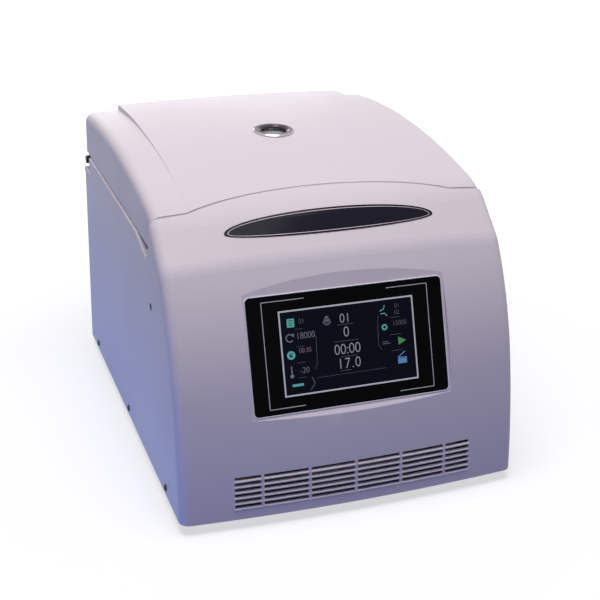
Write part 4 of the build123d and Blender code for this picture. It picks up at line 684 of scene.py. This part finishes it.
def make_dark_marks():
    """Three lines on the list sheet."""
    dark = Relief(display_plane, SCREEN_TOP, NOTCH_TOP)
    for v in (33.2, 30.9, 28.6):
        dark.stroke([(-63.6, v), (-59.6, v)], 0.7)
    dark.keep("screen_dark_marks", screen_gloss)


def make_green_mark():
    """Start sign, a triangle."""
    green = screen_relief()
    green.outline([(54.4, -6.2), (63.2, -2.0), (54.4, 2.4)])
    green.keep("screen_green_mark", glow_green)


def make_blue_mark():
    """Box with its lid up."""
    blue = screen_relief()
    blue.bar(52.4, -25.8, 62.4, -20.6)
    blue.stroke([(52.8, -19.0), (60.8, -13.6)], 0.9)
    blue.bar(52.4, -20.2, 62.4, -19.2)
    blue.keep("screen_blue_mark", glow_blue)


def make_rose_marks():
    """Set time, beside the clock."""
    rose = screen_relief()
    rose.figures("00:30", -48.4, 1.5, 4.8, TIGHT)
    rose.keep("screen_rose_marks", glow_rose)


make_frame_line()
make_screen()
make_white_marks()
make_dim_marks()
make_grey_marks()
make_teal_marks()
make_dark_marks()
make_green_mark()
make_blue_mark()
make_rose_marks()


# Name plate

def make_badge_line():
    """One bright line inside the edge of the bare name plate, laid on its face."""
    plate_lean = math.radians(40.0)
    centre = Vector((0, -135.75, 291.0)) * MM
    half_long, half_high, drop = 115.5, 14.5, 3.66
    end_inset, inset, wide, lift = 3.4, 1.9, 0.8, 0.06
    steps = 96
    far_out = 50.0

    outward = Vector((0, -math.sin(plate_lean), math.cos(plate_lean)))
    along = Vector((0, math.cos(plate_lean), math.sin(plate_lean)))
    plate = surface_of("badge_plate")
    shape = bmesh.new()
    rings = []
    for shift in (0, wide):
        ring = []
        for k in range(steps):
            turn = 2 * math.pi * k / steps
            rise = half_high + drop if turn <= math.pi else half_high - drop
            u = (half_long - end_inset - shift) * math.cos(turn)
            v = (rise - inset - shift) * math.sin(turn) - drop
            spot = centre + (Vector((u, 0, 0)) + along * v) * MM
            hit = plate.ray_cast(spot + outward * far_out * MM, -outward)[0]
            ring.append(shape.verts.new(hit + outward * lift * MM))
        rings.append(ring)
    outer, inner = rings
    for k in range(steps):
        shape.faces.new((outer[k - 1], outer[k], inner[k], inner[k - 1]))
    keep_shape("badge_line", shape, line_silver, "housing")


make_badge_line()


# Repeated pieces, made by Geometry Nodes and kept as plain meshes

FLOAT, INTEGER = "NodeSocketFloat", "NodeSocketInt"


def new_tree(name, inputs):
    """Tree with named inputs for its sizes and one for its finish."""
    tree = bpy.data.node_groups.new(name, "GeometryNodeTree")
    tree.interface.new_socket(name="Geometry", in_out="INPUT", socket_type="NodeSocketGeometry")
    keys = {}
    for label, kind in [*inputs, ("Finish", "NodeSocketMaterial")]:
        keys[label] = tree.interface.new_socket(name=label, in_out="INPUT", socket_type=kind).identifier
    tree.interface.new_socket(name="Geometry", in_out="OUTPUT", socket_type="NodeSocketGeometry")
    return tree, keys, tree.nodes.new("NodeGroupInput"), tree.nodes.new("NodeGroupOutput")


def close_tree(tree, start, end, shape):
    """Real geometry and its finish, as the last two nodes."""
    realize = tree.nodes.new("GeometryNodeRealizeInstances")
    paint = tree.nodes.new("GeometryNodeSetMaterial")
    tree.links.new(shape, realize.inputs["Geometry"])
    tree.links.new(realize.outputs["Geometry"], paint.inputs["Geometry"])
    tree.links.new(start.outputs["Finish"], paint.inputs["Material"])
    tree.links.new(paint.outputs["Geometry"], end.inputs["Geometry"])


def make_by_tree(name, recipe, values, vertices, edges, body, finish):
    """Runs a tree on guide points and keeps the result as one plain mesh on a body."""
    tree, keys = recipe
    guide = bpy.data.meshes.new(name + "_guide")
    guide.from_pydata(vertices, edges, [])
    holder = bpy.data.objects.new(name + "_guide", guide)
    bpy.context.collection.objects.link(holder)
    modifier = holder.modifiers.new("make", "NODES")
    modifier.node_group = tree
    modifier[keys["Finish"]] = finish
    for label, value in values.items():
        modifier[keys[label]] = value
    mesh = evaluated_mesh(holder)
    holder.modifiers.remove(modifier)
    bpy.data.objects.remove(holder)
    bpy.data.meshes.remove(guide)
    mesh.name = name
    keep_piece(name, mesh, body)


def make_bead_tree():
    """Round bead along guide lines."""
    tree, keys, start, end = new_tree("bead_along_lines", [("Radius", FLOAT), ("Sides", INTEGER)])
    lines = tree.nodes.new("GeometryNodeMeshToCurve")
    section = tree.nodes.new("GeometryNodeCurvePrimitiveCircle")
    sweep = tree.nodes.new("GeometryNodeCurveToMesh")
    sweep.inputs["Fill Caps"].default_value = True
    tree.links.new(start.outputs["Geometry"], lines.inputs["Mesh"])
    tree.links.new(start.outputs["Radius"], section.inputs["Radius"])
    tree.links.new(start.outputs["Sides"], section.inputs["Resolution"])
    tree.links.new(lines.outputs["Curve"], sweep.inputs["Curve"])
    tree.links.new(section.outputs["Curve"], sweep.inputs["Profile Curve"])
    close_tree(tree, start, end, sweep.outputs["Mesh"])
    return tree, keys


def make_ring_tree():
    """Round wire ring at each guide point, turned about the rotor's axis and leant outwards."""
    tree, keys, start, end = new_tree(
        "rings_at_points",
        [
            ("Ring Radius", FLOAT),
            ("Wire Radius", FLOAT),
            ("Ring Sides", INTEGER),
            ("Wire Sides", INTEGER),
            ("Lean", FLOAT),
            ("Turn Step", FLOAT),
        ],
    )
    ring = tree.nodes.new("GeometryNodeCurvePrimitiveCircle")
    section = tree.nodes.new("GeometryNodeCurvePrimitiveCircle")
    sweep = tree.nodes.new("GeometryNodeCurveToMesh")
    tree.links.new(start.outputs["Ring Sides"], ring.inputs["Resolution"])
    tree.links.new(start.outputs["Wire Sides"], section.inputs["Resolution"])
    tree.links.new(start.outputs["Ring Radius"], ring.inputs["Radius"])
    tree.links.new(start.outputs["Wire Radius"], section.inputs["Radius"])
    tree.links.new(ring.outputs["Curve"], sweep.inputs["Curve"])
    tree.links.new(section.outputs["Curve"], sweep.inputs["Profile Curve"])
    index = tree.nodes.new("GeometryNodeInputIndex")
    angles = tree.nodes.new("ShaderNodeCombineXYZ")
    tree.links.new(start.outputs["Lean"], angles.inputs["X"])
    turn = math_node(tree, "MULTIPLY", index.outputs["Index"], start.outputs["Turn Step"])
    tree.links.new(turn, angles.inputs["Z"])
    place = tree.nodes.new("GeometryNodeInstanceOnPoints")
    tree.links.new(start.outputs["Geometry"], place.inputs["Points"])
    tree.links.new(sweep.outputs["Mesh"], place.inputs["Instance"])
    tree.links.new(angles.outputs["Vector"], place.inputs["Rotation"])
    close_tree(tree, start, end, place.outputs["Instances"])
    return tree, keys


def make_fin_tree():
    """Thin upright fins in a row, all of one size, from a guide point."""
    tree, keys, start, end = new_tree(
        "fin_row",
        [("Count", INTEGER), ("Pitch", FLOAT), ("Thickness", FLOAT), ("Depth", FLOAT), ("Height", FLOAT)],
    )
    size = tree.nodes.new("ShaderNodeCombineXYZ")
    tree.links.new(start.outputs["Thickness"], size.inputs["X"])
    tree.links.new(start.outputs["Depth"], size.inputs["Y"])
    tree.links.new(start.outputs["Height"], size.inputs["Z"])
    fin = tree.nodes.new("GeometryNodeMeshCube")
    tree.links.new(size.outputs["Vector"], fin.inputs["Size"])
    step = tree.nodes.new("ShaderNodeCombineXYZ")
    tree.links.new(start.outputs["Pitch"], step.inputs["X"])
    row = tree.nodes.new("GeometryNodeMeshLine")
    tree.links.new(start.outputs["Count"], row.inputs["Count"])
    tree.links.new(step.outputs["Vector"], row.inputs["Offset"])
    fins = tree.nodes.new("GeometryNodeInstanceOnPoints")
    tree.links.new(row.outputs["Mesh"], fins.inputs["Points"])
    tree.links.new(fin.outputs["Mesh"], fins.inputs["Instance"])
    rows = tree.nodes.new("GeometryNodeInstanceOnPoints")
    tree.links.new(start.outputs["Geometry"], rows.inputs["Points"])
    tree.links.new(fins.outputs["Instances"], rows.inputs["Instance"])
    close_tree(tree, start, end, rows.outputs["Instances"])
    return tree, keys


bead_recipe = make_bead_tree()
ring_recipe = make_ring_tree()
fin_recipe = make_fin_tree()


# Beads on the housing

def lay_bead(name, runs, radius, sides, finish, closed=False):
    """Round bead along runs of points on the housing."""
    vertices, edges = [], []
    for run in runs:
        first = len(vertices)
        vertices.extend(run)
        edges.extend((first + k, first + k + 1) for k in range(len(run) - 1))
        if closed:
            edges.append((len(vertices) - 1, first))
    values = {"Radius": radius * MM, "Sides": sides}
    make_by_tree(name, bead_recipe, values, vertices, edges, "housing", finish)


def front_points(front, height, left, right, steps, sunk):
    """Points along the bowed front at one height, a little behind its surface."""
    before_front = -400.0
    spots = []
    for k in range(steps + 1):
        x = left + (right - left) * k / steps
        hit = front.ray_cast(Vector((x, before_front, height)) * MM, Vector((0, 1, 0)))[0]
        spots.append(hit + Vector((0, sunk * MM, 0)))
    return spots


def make_vent_bars():
    """Rounded bars between the air slots, which catch the light from above."""
    first_slot, pitch, slot_height, rows = 26.6, 6.16, 3.9, 6
    columns = (
        (-131.5, -103.5), (-100.5, -52.5), (-49.5, -1.5), (1.5, 49.5), (52.5, 100.5), (103.5, 131.5),
    )
    radius, sides, sunk, past_ends, steps = 1.08, 14, 0.25, 0.6, 8
    below_first = 1.05
    front = surface_of("lower_housing")
    heights = [first_slot + (row - 0.5) * pitch for row in range(rows)]
    heights[0] = first_slot - slot_height / 2 - below_first
    runs = [
        front_points(front, height, left - past_ends, right + past_ends, steps, sunk)
        for height in heights
        for left, right in columns
    ]
    lay_bead("vent_bars", runs, radius, sides, shell_paint)


def make_seam_edge():
    """Soft bright edge of the lower housing along the lid's front seam."""
    kink_x, kink_y, bow = 147.0, -110.75, 21.0
    end_x, step_x = 184.0, 4.0
    above, before_seam, sunk = 500.0, 0.35, 0.1
    bow_radius = (kink_x**2 + bow**2) / (2 * bow)
    housing = surface_of("lower_housing")
    run = []
    for k in range(round(2 * end_x / step_x) + 1):
        x = step_x * k - end_x
        y = kink_y
        if abs(x) < kink_x:
            y += bow - bow_radius + math.sqrt(bow_radius**2 - x**2)
        hit = housing.ray_cast(Vector((x, y - before_seam, above)) * MM, Vector((0, 0, -1)))[0]
        run.append(hit - Vector((0, 0, sunk * MM)))
    lay_bead("seam_edge", [run], radius=0.5, sides=8, finish=shell_paint)


def make_glass_bead():
    """Pale bead round the glass front in its recess; its colour, lighter than the paint, is a painted
    highlight of the recess edge.
    """
    reach_u, reach_v, corner, lift = 108.05, 61.05, 5.3, 0.1
    steps = 8
    run = []
    for side_u, side_v, start in ((1, 1, 0), (-1, 1, 90), (-1, -1, 180), (1, -1, 270)):
        for k in range(steps + 1):
            turn = math.radians(start + 90 * k / steps)
            u = side_u * (reach_u - corner) + corner * math.cos(turn)
            v = side_v * (reach_v - corner) + corner * math.sin(turn)
            run.append(display_plane.point(u, v, lift))
    lay_bead("glass_bead", [run], radius=0.6, sides=8, finish=painted_highlight_pale, closed=True)


make_vent_bars()
make_seam_edge()
make_glass_bead()


# Rotor: bright cut edges of its pockets, and the pockets' plain figures

ROTOR_Y = joints["rotor_spin"]["pos_m"][1] / MM
ROTOR_FOOT_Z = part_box("rotor")[0].z / MM
POCKETS = 12
pocket_turns = [2 * math.pi * k / POCKETS for k in range(POCKETS)]


def make_pocket_rims():
    mouth_radius, mouth_height = 42.0, ROTOR_FOOT_Z + 60.0
    points = [
        Vector((mouth_radius * math.sin(t), ROTOR_Y - mouth_radius * math.cos(t), mouth_height)) * MM
        for t in pocket_turns
    ]
    values = {
        "Ring Radius": 8.85 * MM,
        "Wire Radius": 0.3 * MM,
        "Ring Sides": 40,
        "Wire Sides": 6,
        "Lean": math.radians(-45.0),
        "Turn Step": 2 * math.pi / POCKETS,
    }
    make_by_tree("pocket_rims", ring_recipe, values, points, [], "rotor", bright_steel)


def make_pocket_figures():
    """One figure below each pocket, on the rotor's outer cone."""
    cone_radius, cone_foot, cone_run, cone_rise = 90.0, 34.0, 27.0, 40.0
    figure_radius, figure_size, ink = 74.0, 9.0, 0.06
    height = ROTOR_FOOT_Z + cone_foot + (cone_radius - figure_radius) * cone_rise / cone_run
    for number, turn in enumerate(pocket_turns, start=1):
        outward = Vector((math.sin(turn), -math.cos(turn), 0))
        origin = Vector((0, ROTOR_Y, height)) + outward * figure_radius
        upward = Vector((0, 0, cone_rise)) - outward * cone_run
        face = Relief(Plane(origin, (math.cos(turn), math.sin(turn), 0), upward), 0.0, ink)
        face.figures(str(number), 0, 0, figure_size)
        face.keep("pocket_figure_%02d" % number, ink_white, "rotor")


make_pocket_rims()
make_pocket_figures()


# Back: plain marks on the rocker's two flats, and the plated blades of the inlet

REAR_PANEL_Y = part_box("rear_panel")[1].y / MM
rocker_joint = joints["power_switch"]


def make_rocker_marks():
    """A ring on the flat that is flush at rest, and a bar on the one that leans."""
    axis_x, axis_z = rocker_joint["pos_m"][0] / MM, rocker_joint["pos_m"][2] / MM
    travel = math.radians(rocker_joint["range_deg"][1])
    middle, ink = 5.5, 0.06
    off_flat = Relief(Plane((axis_x, REAR_PANEL_Y, axis_z - middle), (-1, 0, 0), (0, 0, 1)), 0.0, ink)
    off_flat.ring(0, 0, 1.7, 2.3)
    off_flat.keep("rocker_off_mark", ink_white, "rocker")
    lean = Vector((0, math.sin(travel), math.cos(travel)))
    place = Vector((axis_x, REAR_PANEL_Y, axis_z)) + lean * middle
    on_flat = Relief(Plane(place, (-1, 0, 0), lean), 0.0, ink)
    on_flat.bar(-0.3, -2.2, 0.3, 2.2)
    on_flat.keep("rocker_on_mark", ink_white, "rocker")


def make_inlet_blades():
    """Plating over the inlet's three blades, a twentieth of a millimetre thick."""
    plating, half_wide, half_high = 0.05, 1.0, 2.0
    floor_y, tip_y = 215.3, 229.25
    low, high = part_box("power_inlet")
    middle = (low + high) / 2 / MM
    socket = Relief(
        Plane((middle.x, floor_y, middle.z), (-1, 0, 0), (0, 0, 1)), 0.0, tip_y - floor_y + plating
    )
    reach_u, reach_v = half_wide + plating, half_high + plating
    for u, v in ((-7.0, -2.0), (0.0, 2.0), (7.0, -2.0)):
        socket.bar(u - reach_u, v - reach_v, u + reach_u, v + reach_v)
    socket.keep("inlet_blades", bright_steel)


make_rocker_marks()
make_inlet_blades()


# Condenser

def make_condenser_fins():
    """Fins across the condenser's front, just proud of it."""
    pitch, count, thickness, depth, end_room = 2.0, 124, 0.3, 1.2, 3.0
    low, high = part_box("condenser")
    values = {
        "Count": count,
        "Pitch": pitch * MM,
        "Thickness": thickness * MM,
        "Depth": depth * MM,
        "Height": high.z - low.z - 2 * end_room * MM,
    }
    start = (-pitch * MM * (count - 1) / 2, low.y, (low.z + high.z) / 2)
    make_by_tree("condenser_fins", fin_recipe, values, [start], [], "housing", enamel_black)


make_condenser_fins()


# Camera, fitted to the photograph

PHOTO_PX = 600.0
FOCAL_PX = 1265.47
CENTRE_PX = (305.0, 270.0)
AZIMUTH = math.radians(-20.376)
ELEVATION = math.radians(23.061)
ROLL = 0.02985
# In metres
CAMERA_PLACE = (-0.45164, -1.27896, 0.75634)
# Width of the camera's sensor, in millimetres
SENSOR = 36.0


def make_camera():
    back = Vector((
        math.sin(AZIMUTH) * math.cos(ELEVATION),
        -math.cos(AZIMUTH) * math.cos(ELEVATION),
        math.sin(ELEVATION),
    ))
    forward = -back
    right = forward.cross(Vector((0, 0, 1))).normalized()
    up = right.cross(forward)
    rolled_right = right * math.cos(ROLL) + up * math.sin(ROLL)
    rolled_up = up * math.cos(ROLL) - right * math.sin(ROLL)
    data = bpy.data.cameras.new("photo_camera")
    data.sensor_width = SENSOR
    data.lens = SENSOR * FOCAL_PX / PHOTO_PX
    data.shift_x = (PHOTO_PX / 2 - CENTRE_PX[0]) / PHOTO_PX
    data.shift_y = (CENTRE_PX[1] - PHOTO_PX / 2) / PHOTO_PX
    data.clip_end = 50.0
    camera = bpy.data.objects.new("photo_camera", data)
    axes = Matrix((rolled_right, rolled_up, back)).transposed().to_4x4()
    camera.matrix_world = Matrix.Translation(CAMERA_PLACE) @ axes
    bpy.context.collection.objects.link(camera)
    bpy.context.scene.camera = camera


make_camera()


# Floor and sky: white to look at, blue for the light that they give

def look_white(tree, lighting, white):
    """One shader for the light that is given, a white one for rays that look, also by gloss and glass."""
    rays = tree.nodes.new("ShaderNodeLightPath")
    direct = math_node(tree, "MAXIMUM", rays.outputs["Is Camera Ray"], rays.outputs["Is Transmission Ray"])
    choice = tree.nodes.new("ShaderNodeMixShader")
    tree.links.new(math_node(tree, "MAXIMUM", direct, rays.outputs["Is Glossy Ray"]), choice.inputs[0])
    tree.links.new(lighting, choice.inputs[1])
    tree.links.new(white, choice.inputs[2])
    return choice.outputs[0]


def make_floor_finish():
    """Floor that looks white and keeps the object's shadow close round it."""
    tone_scale = 3.0
    first_tone, second_tone = (0.09, 0.12, 0.27, 1), (0.11, 0.14, 0.30, 1)
    fade_start, fade_stop, near_glow = 0.35, 1.1, 0.6
    material, tree, shader = start_material("pale_floor")
    tone = noise(tree, object_coordinates(tree), tone_scale)
    tree.links.new(mix_colour(tree, tone, first_tone, second_tone), shader.inputs["Base Color"])
    set_values(shader, {"Roughness": 0.95, "Specular IOR Level": 0.1})

    distance = tree.nodes.new("ShaderNodeVectorMath")
    distance.operation = "LENGTH"
    tree.links.new(object_coordinates(tree), distance.inputs[0])
    fade = smooth_step(tree, distance.outputs["Value"], fade_start, fade_stop, low=near_glow)
    glow = tree.nodes.new("ShaderNodeEmission")
    glow.inputs["Color"].default_value = (1, 1, 1, 1)
    tree.links.new(fade, glow.inputs["Strength"])
    shadowed = tree.nodes.new("ShaderNodeBsdfDiffuse")
    shadowed.inputs["Color"].default_value = (0.5, 0.5, 0.51, 1)
    white = tree.nodes.new("ShaderNodeAddShader")
    tree.links.new(glow.outputs[0], white.inputs[0])
    tree.links.new(shadowed.outputs[0], white.inputs[1])
    surface = tree.nodes["Material Output"].inputs["Surface"]
    tree.links.new(look_white(tree, shader.outputs[0], white.outputs[0]), surface)
    return material


def make_floor():
    reach = 6.0
    mesh = bpy.data.meshes.new("studio_floor")
    corners = [(-reach, -reach, 0), (reach, -reach, 0), (reach, reach, 0), (-reach, reach, 0)]
    mesh.from_pydata(corners, [], [(0, 1, 2, 3)])
    mesh.materials.append(make_floor_finish())
    floor = bpy.data.objects.new("studio_floor", mesh)
    bpy.context.collection.objects.link(floor)


def make_sky():
    world = bpy.data.worlds.new("studio")
    world.use_nodes = True
    tree = world.node_tree
    sky = tree.nodes["Background"]
    set_values(sky, {"Color": (0.88, 0.88, 1.0, 1), "Strength": 0.16})
    white = tree.nodes.new("ShaderNodeBackground")
    set_values(white, {"Color": (1, 1, 1, 1), "Strength": 1.0})
    surface = tree.nodes["World Output"].inputs["Surface"]
    tree.links.new(look_white(tree, sky.outputs[0], white.outputs[0]), surface)
    bpy.context.scene.world = world


make_floor()
make_sky()


# Lamps

WIDE, NARROW = 180.0, 80.0


def area_lamp(name, place, target, size, energy, colour, spread=WIDE):
    data = bpy.data.lights.new(name, "AREA")
    data.shape = "RECTANGLE"
    data.size, data.size_y = size
    data.energy = energy
    data.color = colour
    data.spread = math.radians(spread)
    lamp = bpy.data.objects.new(name, data)
    aim = Vector(target) - Vector(place)
    lamp.rotation_euler = aim.to_track_quat("-Z", "Y").to_euler()
    lamp.location = place
    bpy.context.collection.objects.link(lamp)


area_lamp("top_softbox", (-0.2, -0.25, 2.3), (0, -0.05, 0.2), (1.5, 1.5), 38.0, (1.0, 0.97, 0.97))
area_lamp("front_fill", (0.1, -2.4, 0.9), (0, -0.2, 0.15), (1.2, 0.8), 0.8, (0.95, 0.95, 1.0))
area_lamp("rear_fill", (0.3, 2.4, 0.5), (0, 0.2, 0.15), (1.4, 0.7), 7.0, (0.97, 0.97, 1.0))
area_lamp("right_fill", (2.3, -0.1, 0.6), (0.15, 0, 0.15), (1.2, 0.7), 4.0, (1.0, 0.97, 0.98))
area_lamp(
    "low_left_fill", (-0.7, 0.0, 0.06), (-0.15, 0.02, 0.02), (1.0, 0.08), 0.36, (0.03, 0.22, 1.0), NARROW
)
area_lamp(
    "low_front_fill", (0.05, -0.85, 0.06), (0.03, -0.2, 0.02), (1.0, 0.08), 0.1, (0.1, 0.16, 1.0), NARROW
)

scene = bpy.context.scene
scene.view_settings.view_transform = "Standard"
